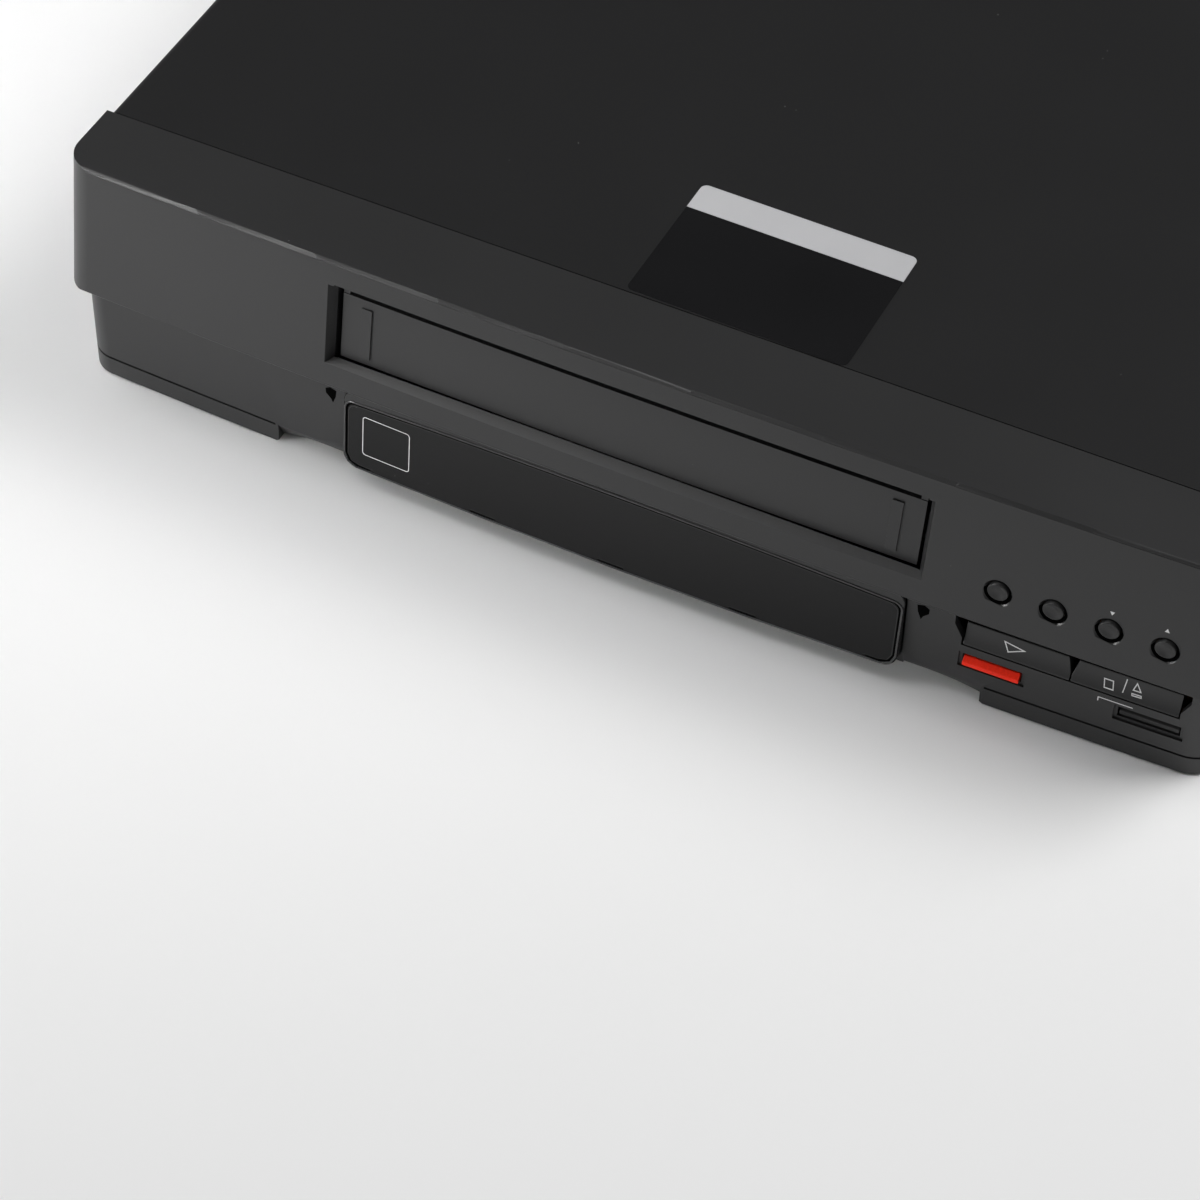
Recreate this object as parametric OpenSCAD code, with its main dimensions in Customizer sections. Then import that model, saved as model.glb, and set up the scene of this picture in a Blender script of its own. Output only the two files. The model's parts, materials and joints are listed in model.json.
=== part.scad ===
// Video cassette recorder with a front cassette door and an L-path loading mechanism.
// X runs along the front, the front faces -Y, Z is up and the feet stand on z = 0.

/* [Cabinet] */
// Width across the front panel
body_w = 392; // [380:2:420]
// Height of the hood above the floor
body_h = 86; // [84:1:96]
// Depth from the front-most edge to the back of the rear panel
body_d = 275; // [272:1:300]
// Thickness of the steel sheets of the cabinet
sheet_t = 1; // [0.8:0.1:1.2]
// Gap between pieces of the cabinet that butt or slide together
seam_gap = 0.4; // [0.3:0.05:0.6]
// Height of the rubber feet
foot_h = 8; // [7:0.5:8]
// Radius of each rubber foot at its top
foot_r = 9; // [6:0.5:11]
// How far each foot is set in from the side of the body
foot_inset_x = 32; // [24:1:40]
// Bend radius of the hood's two long edges
hood_bend_r = 3; // [2:0.5:4]
// Number of vent slots in each side of the hood
vent_count = 12; // [6:1:16]
// Pitch of the vent slots
vent_pitch = 6; // [5:0.5:7]

/* [Front panel] */
// Wall thickness of the moulded front panel
panel_wall = 2.5; // [2:0.1:3]
// Depth of the panel's top strip, from the front-most edge back to the hood
strip_d = 37.3; // [34:0.5:40]
// How far the face leans: the step edge is forward of the top edge by this angle
face_lean = 9.1; // [6:0.5:10]
// Radius of the bow of the upper face, seen from above
upper_bow_r = 6300; // [5000:100:9000]
// Radius of the bow of the lower block, seen from above
lower_bow_r = 4820; // [4000:100:7000]
// How far the lower block is set back from the step edge
lower_setback = 5; // [4:0.5:6]
// How much narrower the lower block is at each end
lower_inset_x = 2; // [1:0.5:3]
// Radius of the panel's upright corners, seen from above
corner_r = 10; // [7:0.5:12]
// Rounding of the edge between the face and the top strip
top_edge_r = 1.2; // [0.8:0.1:2]
// Rounding of the step edge under the upper face
step_edge_r = 1.6; // [1:0.1:2.2]
// Height of the toe strips at the two lower corners
toe_h = 8.4; // [7.8:0.1:9]
// Half the distance between the two toe strips
toe_x = 122; // [116:1:130]
// Gap between the toe strips and the floor
toe_lift = 0.8; // [0.5:0.1:1.5]
// Height of the raised underside between the toe strips
belly_z = 6.8; // [6:0.2:7.5]
// Length of the curve that brings the underside down to each toe strip
belly_run = 18; // [12:1:20]

/* [Cassette door] */
// Clearance between a cassette and each side of its way in
tunnel_gap = 4.5; // [4:0.25:6]
// How much the frame's sides close in, from the face to the door
frame_bevel = 2; // [1.5:0.1:2.5]
// How much the sill falls, from the door to the face
sill_drop = 1.3; // [0.8:0.1:1.6]
// Depth of the door behind the face
door_recess = 4; // [3.5:0.1:4.5]
// Thickness of the door
door_t = 2.4; // [2:0.1:3]
// Gap at each end of the door
door_gap = 1.4; // [0.8:0.1:1.6]
// Radius of the door's hinge pins
door_pin_r = 1.2; // [1:0.1:1.4]
// Width of the raised rib near each end of the door
door_rib_w = 3.6; // [3:0.1:5]

/* [Window] */
// Half width of the glossy window
window_hw = 95; // [92:0.5:97]
// Radius of the bow of the window, seen from above
window_bow_r = 2265; // [2000:50:4000]
// Lean of the window
window_lean = 5; // [3:0.5:6]
// Corner radius of the window
window_corner_r = 5; // [3:0.5:7]
// Depth of the recess that holds the window
window_recess = 1.2; // [1:0.1:1.4]
// Gap round the window
window_gap = 0.35; // [0.3:0.05:0.5]

/* [Controls] */
// Radius of a round button
button_r = 3.15; // [2.8:0.05:3.5]
// Spacing of the round buttons
button_pitch = 17.1; // [15:0.1:18]
// Gap between the sides of the controls and their holes
key_gap = 0.45; // [0.35:0.05:0.6]
// Height of the two wide keys, with the lip behind their face
wide_key_h = 14.6; // [13:0.2:15]
// Height of the scooped face of the two wide keys
key_face_h = 7.3; // [6.5:0.1:8]
// Depth of the scoop at the top of that face
scoop_d = 2.6; // [2:0.1:3.2]
// Travel of every button and key
key_travel = 1; // [0.6:0.1:1.2]
// Height of the record and power keys
bar_key_h = 3; // [2.6:0.1:3.4]

/* [Cassette and loading] */
// Width of a cassette
cas_w = 187; // [187:1:189]
// Depth of a cassette
cas_d = 103; // [103:1:104]
// Height of a cassette
cas_h = 25; // [25:0.5:26]
// Distance that the holder moves in from the door
load_in = 54; // [50:1:56]
// Distance that the holder drops on to the deck
load_down = 17; // [15:0.5:18]
// Thickness of the holder's bent sheet
holder_t = 1.2; // [1:0.1:1.5]
// Thickness of the side brackets and slide plates
bracket_t = 1.5; // [1.2:0.1:1.8]
// Radius of the holder's guide pins
guide_pin_r = 1.9; // [1.6:0.1:2]
// Clearance between a guide pin and its slot
slot_gap = 0.3; // [0.2:0.05:0.4]
// Radius of the shaft that keeps both slide plates in step
sync_r = 2; // [1.6:0.1:2.4]
// Teeth on each pinion of that shaft
pinion_teeth = 14; // [12:1:16]

/* [Tape deck] */
// Thickness of the deck plate
deck_t = 1.6; // [1.2:0.1:2]
// Height of the deck plate above the tray
deck_rise = 17; // [15:0.5:18]
// Radius of the head drum
drum_r = 31; // [29:0.5:31]
// Lean of the head drum
drum_tilt = 5; // [0:0.5:6]
// Half the distance between the reel spindles
reel_x = 46; // [45:0.5:47]
// Radius of a reel table
reel_r = 24; // [22:0.5:25]
// Radius of the idler wheel
idler_r = 13; // [11:0.5:14]
// Swing of the idler to each side
idler_swing = 17; // [10:1:17]
// Radius of the capstan
capstan_r = 1.5; // [1.2:0.1:2]
// Radius of the pinch roller
pinch_r = 6.5; // [5.5:0.25:7]
// Running clearance between a shaft and its bore
run_gap = 0.06; // [0.04:0.01:0.1]

/* [Rear] */
// Length of the sockets that stand out of the rear panel
socket_out = 10; // [8:0.5:12]
// Radius of the aerial sockets' thread
aerial_r = 4.76; // [4.7:0.02:4.8]
// Radius of the signal sockets
jack_r = 4.15; // [4.1:0.05:4.2]
// Radius of the bore of the mains cord's gland
gland_r = 3.6; // [3:0.1:4]

/* [Hidden] */
$fn = 48;

// Depth stations: the origin is at the middle of the whole depth, sockets included
total_d = body_d + socket_out;
front_y = -total_d / 2;
seam_y = front_y + strip_d;
rear_y = front_y + body_d;
half_w = body_w / 2;
cover_hw = half_w - 1;
eps = 0.01;
big = 600;

// The cassette's way in, and the frame that opens out from it to the face
tunnel_hw = cas_w / 2 + tunnel_gap;
frame_hw = tunnel_hw + frame_bevel;

// Heights
tray_z = foot_h;
tray_top = tray_z + sheet_t;
deck_z = tray_top + deck_rise;
play_z = deck_z + 8;
cas_z = play_z + load_down;
frame_z0 = cas_z - 1.3;
frame_z1 = cas_z + cas_h + 2;
step_z = cas_z - 11.2;

// The cassette when it is fully in
cas_y0 = front_y + 32.5;
lid_y = cas_y0 + cas_d;
reel_y = cas_y0 + 48;
drum_y = lid_y + 53;
capstan_x = reel_x + 22;
capstan_y = lid_y - 11;
pulley_y = reel_y + 32;

// How far a bow of radius r has come back at the distance x from the middle
function sag(r, x) = r - sqrt(r * r - x * x);
// Slope of a bow of radius r at the distance x, in degrees
function bow_angle(r, x) = asin(x / r);
// The leaning upper face, the upright lower block and the window, as y at a place
function face_y(x, z) = front_y + (z - step_z) * tan(face_lean) + sag(upper_bow_r, x);
function lower_y(x) = front_y + lower_setback + sag(lower_bow_r, x);

// Space whose Z runs up the leaning face and whose y = 0 lies on it at the step edge
module lean_space() {
    translate([0, front_y, step_z])
        rotate([-face_lean, 0, 0])
            children();
}

// Plan of a bowed front with rounded corners, drawn inset by the amount given
module bowed_plan(r, hw, depth, corner, inset) {
    cx = hw - corner;
    cy = sag(r, cx) + corner;
    intersection() {
        translate([0, r])
            circle(r = r - inset, $fn = 1600);
        union() {
            translate([-cx, -1])
                square([2 * cx, depth + 1]);
            translate([-hw + inset, cy])
                square([2 * (hw - inset), depth - cy]);
            for (s = [-1, 1])
                translate([s * cx, cy])
                    circle(r = corner - inset, $fn = 64);
        }
    }
}

// Everything between two heights and between two depths
module slab(y0, y1, z0, z1) {
    translate([-big / 2, y0, z0])
        cube([big, y1 - y0, z1 - z0]);
}

// Outline of a rectangle with round corners, from its middle
module round_rect(w, h, r) {
    square([w - 2 * r, h], center = true);
    square([w, h - 2 * r], center = true);
    for (sx = [-1, 1])
        for (sy = [-1, 1])
            translate([sx * (w / 2 - r), sy * (h / 2 - r)])
                circle(r = r);
}

// A cylinder along Y, from y0 to y1
module rod_y(x, z, y0, y1, r) {
    translate([x, y1, z])
        rotate([90, 0, 0])
            cylinder(r = r, h = y1 - y0);
}

// A cylinder along X, from x0 to x1
module rod_x(y, z, x0, x1, r) {
    translate([x0, y, z])
        rotate([0, 90, 0])
            cylinder(r = r, h = x1 - x0);
}

// An upright tube
module tube(x, y, z0, z1, r_out, r_in) {
    translate([x, y, z0])
        difference() {
            cylinder(r = r_out, h = z1 - z0);
            translate([0, 0, -1])
                cylinder(r = r_in, h = z1 - z0 + 2);
        }
}

// Panel: upper block, leaning, and lower block, upright
module upper_block(inset, z0, z1) {
    intersection() {
        lean_space()
            translate([0, 0, -30])
                linear_extrude(120)
                    bowed_plan(upper_bow_r, half_w, 90, corner_r, inset);
        slab(front_y - 10, seam_y, z0, z1);
    }
}

module lower_block(inset, z0, z1) {
    intersection() {
        translate([0, front_y + lower_setback, z0])
            linear_extrude(z1 - z0)
                bowed_plan(lower_bow_r, half_w - lower_inset_x, 90, corner_r, inset);
        slab(front_y - 10, seam_y, z0, z1);
    }
}

// Rounds the long edge at height z of the upper face: a bar less a rod.
// The rod stands a little past the flat, so that the two meet at a clear angle
module edge_cutter(z, r, up) {
    y = face_y(0, z);
    side = up ? -1 : 1;
    rotate_extrude_bow(upper_bow_r, y)
        translate([0, z])
            difference() {
                translate([-1, up ? -r : -1])
                    square([r + 1, r + 1]);
                translate([r, side * 0.94 * r])
                    circle(r = r);
            }
}

// Sweeps a (depth, height) section along a bow whose front-most point is at y
module rotate_extrude_bow(r, y) {
    span = 2 * asin((half_w + 4) / r);
    translate([0, y + r, 0])
        rotate([0, 0, -90 - span / 2])
            rotate_extrude(angle = span, $fn = 1600)
                translate([r, 0])
                    mirror([1, 0])
                        children();
}

// Outline of the underside: a raised belly that curves down to the two toe strips
module belly_outline() {
    drop = belly_z - toe_lift;
    r = (belly_run * belly_run + drop * drop) / (2 * drop);
    x0 = toe_x - belly_run;
    translate([-toe_x, -1])
        square([2 * toe_x, toe_lift + 1]);
    translate([-x0, 0])
        square([2 * x0, belly_z]);
    for (s = [-1, 1])
        intersection() {
            translate([s * x0, belly_z - r])
                circle(r = r, $fn = 256);
            translate([s > 0 ? x0 - 1 : -toe_x, 0])
                square([belly_run + 1, belly_z + 1]);
        }
}

// Control positions, from the frame outwards
key_x0 = frame_hw + 13.2;
key_x1 = half_w - 14.4;
key_split = (key_x0 + key_x1) / 2;
key_z1 = step_z - 1.6;
key_z0 = key_z1 - wide_key_h;
key_face_z1 = key_z0 + key_face_h;
key_body_d = 7.5;
bar_z = key_z0 - 6.5;
bar_rim = 1.6;
record_x = key_x0 + 10.2;
record_w = 17.9;
power_x = key_x1 - 8.9;
power_w = 18.6;
key_flare = 2.6;
button_z = step_z + 14.3;
button_x0 = key_x0 + 9.9;
function button_x(i) = button_x0 + i * button_pitch;
board_y = front_y + 21;
board_t = 1.6;
switch_h = 3.4;
plunger_y = board_y - switch_h;
stem_y = plunger_y - key_travel - 0.3;

// Places a control's children on the lower block, turned to follow the bow
module on_lower(x) {
    translate([x, lower_y(x), 0])
        rotate([0, 0, bow_angle(lower_bow_r, x)])
            children();
}

// Section (depth, height) of a wide key, scooped at its top
module wide_key_section() {
    r = 24;
    a = [0, key_z0];
    b = [scoop_d, key_face_z1];
    mid = (a + b) / 2;
    c = norm(b - a);
    n = [-(b - a)[1], (b - a)[0]] / c;
    difference() {
        union() {
            translate([0, key_z0])
                square([key_body_d, key_face_h]);
            // the lip that closes the gap under the step edge
            translate([key_body_d - 2.5, key_z0])
                square([2.5, key_z1 - key_z0]);
        }
        translate(mid + n * sqrt(r * r - c * c / 4))
            circle(r = r, $fn = 96);
    }
}

// Front outline of a wide key: the edge towards the other key slopes away at the top
module wide_key_outline(w, split_side) {
    h = key_z1 - key_z0;
    half = w / 2 - key_gap;
    slope = [half - 1.2, h * 0.5];
    polygon([
        [-split_side * half, 0], [split_side * (half + key_gap - 0.2), 0],
        [split_side * (half + key_gap - 0.2), h * 0.15], [split_side * slope[0], slope[1]],
        [split_side * slope[0], h],
        [-split_side * half, h]
    ]);
}

module wide_key(x0, x1, split_side) {
    xm = (x0 + x1) / 2;
    on_lower(xm)
        intersection() {
            rotate([90, 0, 90])
                linear_extrude(x1 - x0, center = true)
                    wide_key_section();
            translate([0, 20, key_z0])
                rotate([90, 0, 0])
                    linear_extrude(30)
                        wide_key_outline(x1 - x0, split_side);
        }
    translate([xm - 4, lower_y(xm) + 6.5, (key_z0 + key_z1) / 2 - 2])
        cube([8, stem_y - lower_y(xm) - 6.5, 4]);
}

// Outline of the hole for both wide keys, wider at the top than the keys
module wide_key_hole() {
    h = step_z + 1 - key_z0;
    x0 = key_x0;
    x1 = key_x1;
    polygon([
        [x0, -key_gap], [x1, -key_gap], [x1, h * 0.12], [x1 + key_flare, h * 0.42],
        [x1 + key_flare, h], [x0 - key_flare, h], [x0 - key_flare, h * 0.45], [x0, h * 0.15]
    ]);
}

// A bar key: its top half slopes back from its front
module bar_key(x, w, proud) {
    on_lower(x)
        translate([-w / 2, 0, bar_z - bar_key_h / 2])
            rotate([90, 0, 90])
                linear_extrude(w)
                    polygon([
                        [-proud, 0], [-proud, bar_key_h * 0.55], [-proud + 1.6, bar_key_h],
                        [6, bar_key_h], [6, 0]
                    ]);
    stem_h = 2.2;
    translate([x - 3, lower_y(x) + 5, bar_z - stem_h / 2])
        cube([6, stem_y - lower_y(x) - 5, stem_h]);
}

// A shallow recess with sloping sides round a bar key, and its hole
module bar_key_cut(x, w, deep) {
    on_lower(x) {
        translate([-w / 2 - key_gap, -1, bar_z - bar_key_h / 2 - key_gap])
            cube([w + 2 * key_gap, 9, bar_key_h + 2 * key_gap]);
        translate([-w / 2 - bar_rim, -1, bar_z - bar_key_h / 2 - bar_rim])
            cube([w + 2 * bar_rim, 1 + deep, bar_key_h + 2 * bar_rim]);
    }
}

// A round button with a dished face, a flange behind the panel and a stem
module round_button(i) {
    x = button_x(i);
    y = face_y(x, button_z) + 0.9;
    translate([x, y, button_z])
        rotate([-90, 0, 0])
            rotate_extrude()
                difference() {
                    union() {
                        square([button_r, 4]);
                        translate([0, 4])
                            square([button_r + 1, 1]);
                        square([1.6, stem_y - y]);
                    }
                    translate([0, -11.5])
                        circle(r = 12, $fn = 128);
                }
}

// CABINET

module top_cover() {
    color([0.07, 0.07, 0.07])
        difference() {
            translate([0, rear_y, 0])
                rotate([90, 0, 0])
                    linear_extrude(rear_y - seam_y - seam_gap)
                        difference() {
                            hood_outline(0);
                            hood_outline(sheet_t);
                        }
            for (s = [-1, 1])
                for (i = [0 : vent_count - 1])
                    translate([s * cover_hw - 4, rear_y - 36 - i * vent_pitch, 24])
                        cube([8, 2.2, 22]);
            for (s = [-1, 1])
                for (y = screw_ys)
                    rod_x(y, screw_z, s * cover_hw - 3, s * cover_hw + 3, 1.7);
        }
}

// Outline of the hood, an upside-down U, drawn inset by the sheet's thickness
module hood_outline(inset) {
    hw = cover_hw - inset;
    h = body_h - inset;
    r = hood_bend_r - inset;
    z0 = tray_z + sheet_t * (inset > 0 ? -1 : 0);
    translate([-hw, z0])
        square([2 * hw, h - r - z0]);
    translate([-hw + r, z0])
        square([2 * (hw - r), h - z0]);
    for (s = [-1, 1])
        translate([s * (hw - r), h - r])
            circle(r = r);
}

screw_z = tray_top + 6;
screw_ys = [seam_y + 40, rear_y - 24];
tray_hw = cover_hw - sheet_t - 0.3;
board_z = tray_top + 4;
board_in_x = frame_hw + 12;
board_out_x = tray_hw - 3;

module bottom_tray() {
    color([0.55, 0.56, 0.57])
        difference() {
            union() {
                translate([-tray_hw, seam_y + seam_gap, tray_z])
                    cube([2 * tray_hw, rear_y - seam_y - seam_gap, sheet_t]);
                for (s = [-1, 1])
                    translate([s * (tray_hw - sheet_t / 2) - sheet_t / 2, seam_y + seam_gap, tray_top])
                        cube([sheet_t, rear_y - sheet_t - seam_y - 2 * seam_gap, 11]);
                // lanced stands under the two boards
                for (s = [-1, 1])
                    for (x = [board_in_x + 5, board_out_x - 5])
                        for (y = [board_y0 + 6, board_y1 - 6])
                            translate([s * x, y, tray_top])
                                cylinder(r = 2.5, h = board_z - tray_top);
            }
            for (s = [-1, 1])
                for (y = screw_ys)
                    rod_x(y, screw_z, s * tray_hw - 3, s * tray_hw + 3, 1.7);
            // vents under the boards
            for (s = [-1, 1])
                for (i = [0 : 9])
                    translate([s * (half_w - 46) - 12, i * 7 - 10, tray_z - 1])
                        cube([24, 2.5, sheet_t + 2]);
        }
}

// Rear sockets: (x, z) of each
aerial_x = [half_w - 40, half_w - 20];
aerial_z = board_z + board_t + 11;
tuner_x0 = aerial_x[0] - 9;
tuner_x1 = aerial_x[1] + 7;
jack_side = 8;
jack_pitch = 16;
jack_x1 = tuner_x0 - 1 - jack_side;
jack_x = [jack_x1 - jack_pitch, jack_x1];
jack_z = [board_z + board_t + 9, board_z + board_t + 29];
gland_x = -half_w + 32;
gland_z = tray_top + 14;
switch_x = half_w - 34;
switch_z = aerial_z + 18;
switch_throw = 4;

module rear_panel() {
    color([0.5, 0.51, 0.52])
        difference() {
            intersection() {
                translate([0, rear_y, 0])
                    rotate([90, 0, 0])
                        linear_extrude(sheet_t)
                            hood_outline(sheet_t + 0.3);
                slab(rear_y - 5, rear_y + 5, tray_top, body_h);
            }
            for (x = aerial_x)
                rod_y(x, aerial_z, rear_y - 3, rear_y + 3, aerial_r + 0.4);
            for (x = jack_x)
                for (z = jack_z)
                    rod_y(x, z, rear_y - 3, rear_y + 3, jack_r + 0.4);
            rod_y(gland_x, gland_z, rear_y - 3, rear_y + 3, gland_r + 2);
            translate([switch_x - 3.4, rear_y - 3, switch_z - 2.4])
                cube([6.8 + switch_throw, 6, 4.8]);
            // louvres
            for (i = [0 : 11])
                translate([gland_x + 30 + i * 9, rear_y - 3, tray_top + 16])
                    cube([3, 6, 34]);
        }
}

foot_xs = [-half_w + foot_inset_x, half_w - foot_inset_x];
foot_ys = [seam_y + 16, rear_y - 28];

module feet() {
    color([0.12, 0.12, 0.12])
        for (x = foot_xs)
            for (y = foot_ys)
                translate([x, y, 0])
                    difference() {
                        cylinder(r1 = foot_r - 1.5, r2 = foot_r, h = foot_h);
                        translate([0, 0, -1])
                            cylinder(r = 3, h = 3.5);
                    }
}

module cover_screws() {
    color([0.2, 0.2, 0.2])
        for (s = [-1, 1])
            for (y = screw_ys) {
                x = s * cover_hw;
                difference() {
                    union() {
                        rod_x(y, screw_z, x + (s > 0 ? 0 : -0.8), x + (s > 0 ? 0.8 : 0), 3.2);
                        rod_x(y, screw_z, x + (s > 0 ? -4 : 0), x + (s > 0 ? 0 : 4), 1.5);
                    }
                    translate([x, y, screw_z])
                        cube([2, 0.7, 4], center = true);
                    translate([x, y, screw_z])
                        cube([2, 4, 0.7], center = true);
                }
            }
}

// FRONT PANEL

door_hw = frame_hw - frame_bevel - door_gap;
door_z0 = frame_z0 - 0.1;
door_top_z = cas_z + 21.9;
// the hinge stands just above and behind the door's top edge
hinge_z = door_top_z + 2.1;
hinge_back = 4.5;
hinge_y = face_y(0, hinge_z) + door_recess + hinge_back;
door_bottom_y = face_y(0, door_z0) + door_recess;
swing_r = norm([hinge_y - door_bottom_y, hinge_z - door_z0]);
tunnel_y = hinge_y + 4.5;
stand_xs = [key_x0 - 4.5, half_w - 9];
stand_zs = [toe_h + 6.5, step_z + 23];
sensor_x = -80;
sensor_z = 22;
sensor_w = 17;
sensor_h = 15.5;
sensor_y = front_y + 14.5;
window_z0 = belly_z + 0.2;
window_z1 = step_z - 1.9;

module front_panel() {
    color([0.24, 0.24, 0.25])
        difference() {
            union() {
                panel_shell();
                door_surround();
                panel_stands();
            }
            door_cuts();
            underside_cuts();
            toe_grooves();
            window_cuts();
            control_cuts();
            step_pockets();
        }
}

// The outer walls: the leaning upper block over the set-back lower block
module panel_shell() {
    w = panel_wall;
    difference() {
        union() {
            upper_block(0, step_z, body_h);
            lower_block(0, toe_lift, step_z + eps);
        }
        upper_block(w, step_z + w, body_h - w);
        lower_block(w, belly_z + w, step_z + w + eps);
        // the toe strips are hollow too
        for (s = [-1, 1])
            intersection() {
                lower_block(w, toe_lift + w, belly_z + w + eps);
                translate([s > 0 ? toe_x + w : -half_w, front_y, 0])
                    cube([half_w - toe_x - w, strip_d + 1, 20]);
            }
        edge_cutter(body_h, top_edge_r, true);
        edge_cutter(step_z, step_edge_r, false);
    }
}

// Sill in front of the door, and the two side walls that carry its hinge
module door_surround() {
    w = panel_wall;
    intersection() {
        upper_block(w - eps, step_z, body_h - w + eps);
        union() {
            for (s = [-1, 1])
                translate([s > 0 ? tunnel_hw : -tunnel_hw - w - 0.5, front_y, frame_z0 - w])
                    cube([w + 0.5, tunnel_y - front_y, body_h - frame_z0]);
            intersection() {
                translate([-tunnel_hw - w, front_y, frame_z0 - w])
                    cube([2 * (tunnel_hw + w), 20, w]);
                lean_space()
                    translate([-half_w, -10, -5])
                        cube([2 * half_w, 10 + door_recess - 0.4, 40]);
            }
        }
    }
}

module panel_stands() {
    for (x = stand_xs)
        rod_y(x, stand_zs[0], lower_y(x) + panel_wall - 0.5, board_y, 3);
    for (x = stand_xs)
        rod_y(x, stand_zs[1], face_y(x, stand_zs[1]) + panel_wall - 0.5, board_y, 3);
    for (s = [-1, 1])
        rod_y(sensor_x + s * (sensor_w / 2 + 3), sensor_z, lower_y(sensor_x) + panel_wall - 0.5, sensor_y, 1.8);
}

module door_cuts() {
    // hole through the face
    translate([-tunnel_hw, front_y - 10, frame_z0])
        cube([2 * tunnel_hw, tunnel_y - front_y + 11, frame_z1 - frame_z0]);
    frame_sides();
    sill_slope();
    for (s = [-1, 1])
        rod_x(hinge_y, hinge_z, s > 0 ? tunnel_hw - 1 : -tunnel_hw - 6,
            s > 0 ? tunnel_hw + 6 : -tunnel_hw + 1, door_pin_r + run_gap);
}

// The frame's upright sides slope outwards from the door to the face
module frame_sides() {
    for (s = [-1, 1])
        lean_space()
            translate([0, 0, (frame_z0 - step_z) / cos(face_lean) + 0.4])
                linear_extrude((frame_z1 - frame_z0) / cos(face_lean) - 0.8)
                    polygon([
                        [s * (tunnel_hw - 0.5), -3],
                        [s * (frame_hw + 1.3), -2],
                        [s * frame_hw, sag(upper_bow_r, frame_hw)],
                        [s * tunnel_hw, door_recess],
                        [s * (tunnel_hw - 0.5), door_recess]
                    ]);
}

// Slopes the sill down from the door to the face, mitred into the frame's sides
module sill_slope() {
    y0 = face_y(0, frame_z0 - sill_drop);
    y1 = face_y(0, frame_z0) + door_recess;
    fall = sill_drop / (y1 - y0);
    intersection() {
        lean_space()
            translate([0, 0, (frame_z0 - step_z) / cos(face_lean) - 4])
                linear_extrude(5)
                    polygon([
                        for (s = [-1, 1], p = s < 0 ? [0, 1, 2] : [2, 1, 0])
                            [s * [frame_hw + 1.3, frame_hw, tunnel_hw][p],
                                [-2, sag(upper_bow_r, frame_hw), door_recess][p]]
                    ]);
        rotate([90, 0, 90])
            linear_extrude(2 * frame_hw + 6, center = true)
                polygon([
                    [y0 - 5, frame_z0 - sill_drop - 5 * fall],
                    [y1, frame_z0],
                    [y1, frame_z0 + 0.6],
                    [y0 - 5, frame_z0 + 0.6]
                ]);
    }
}

module underside_cuts() {
    translate([0, seam_y + 1, 0])
        rotate([90, 0, 0])
            linear_extrude(strip_d + 10)
                belly_outline();
    // the face tucks under between the window and each toe strip
    for (s = [-1, 1])
        on_lower(s * (window_hw + toe_x) / 2)
            rotate([90, 0, 90])
                linear_extrude(toe_x - window_hw - 2, center = true)
                    polygon([[-3, toe_h], [0, toe_h], [4, 0], [4, -1], [-3, -1]]);
}

module toe_grooves() {
    depth = 1.3;
    for (s = [-1, 1])
        intersection() {
            difference() {
                lower_block(-1, toe_h - 0.8, toe_h);
                lower_block(depth, toe_h - 1, toe_h + 1);
            }
            translate([s > 0 ? toe_x : -half_w - 5, front_y - 5, 0])
                cube([half_w - toe_x + 5, strip_d - 6, 20]);
        }
}

module window_outline(grow) {
    round_rect(2 * (window_hw + grow), window_z1 - window_z0 + 2 * grow, window_corner_r + grow);
}

module window_cuts() {
    zc = (window_z0 + window_z1) / 2;
    intersection() {
        translate([0, front_y + 30, zc])
            rotate([90, 0, 0])
                linear_extrude(60)
                    window_outline(window_gap);
        difference() {
            slab(front_y - 5, front_y + 20, 0, 60);
            lower_block(window_recess, -1, 60);
        }
    }
    translate([sensor_x - sensor_w / 2, front_y - 1, sensor_z - sensor_h / 2])
        cube([sensor_w, 16, sensor_h]);
}

module control_cuts() {
    for (i = [0 : 3]) {
        x = button_x(i);
        y = face_y(x, button_z);
        rod_y(x, button_z, y - 1, y + 6, button_r + key_gap);
        translate([x, y + 0.9, button_z])
            rotate([90, 0, 0])
                cylinder(r1 = button_r + key_gap, r2 = button_r + key_gap + 1.7, h = 1.6);
    }
    translate([0, front_y + 20, key_z0])
        rotate([90, 0, 0])
            linear_extrude(30 - step_edge_r)
                intersection() {
                    wide_key_hole();
                    translate([0, -1])
                        square([half_w, step_z - key_z0 + 1]);
                }
    bar_key_cut(record_x, record_w, 0.8);
    bar_key_cut(power_x, power_w, 0.8);
}

// A small pointed pocket at the window's side of each step line
module step_pockets() {
    for (s = [-1, 1])
        translate([s * (frame_hw - 2), lower_y(frame_hw) + 1.6, step_z - 4.6])
            rotate([90, 0, 0])
                linear_extrude(8)
                    polygon([[-1.7, 4.6], [1.7, 4.6], [1.7, 3], [s * -0.6, 0], [-1.7, 3]]);
}

// Plan of everything behind a shallow bow, as a fine polygon
module behind_bow(r, y, hw, depth) {
    n = 40;
    polygon(concat(
        [for (i = [0 : n]) let(x = -hw + 2 * hw * i / n) [x, y + sag(r, x)]],
        [[hw, y + depth], [-hw, y + depth]]
    ));
}

module window_lens() {
    hw = window_hw + 1;
    zc = (window_z0 + window_z1) / 2;
    color([0.03, 0.03, 0.035])
        intersection() {
            translate([0, front_y + 30, zc])
                rotate([90, 0, 0])
                    linear_extrude(60)
                        window_outline(0);
            translate([0, front_y + 0.3, window_z0])
                rotate([-window_lean, 0, 0])
                    translate([0, 0, -5])
                        linear_extrude(60)
                            behind_bow(window_bow_r, 0, hw, 20);
            linear_extrude(60)
                difference() {
                    translate([-hw, front_y - 10])
                        square([2 * hw, 20]);
                    behind_bow(lower_bow_r, lower_y(0) + window_recess - 0.3, hw, 20);
                }
        }
}

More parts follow.
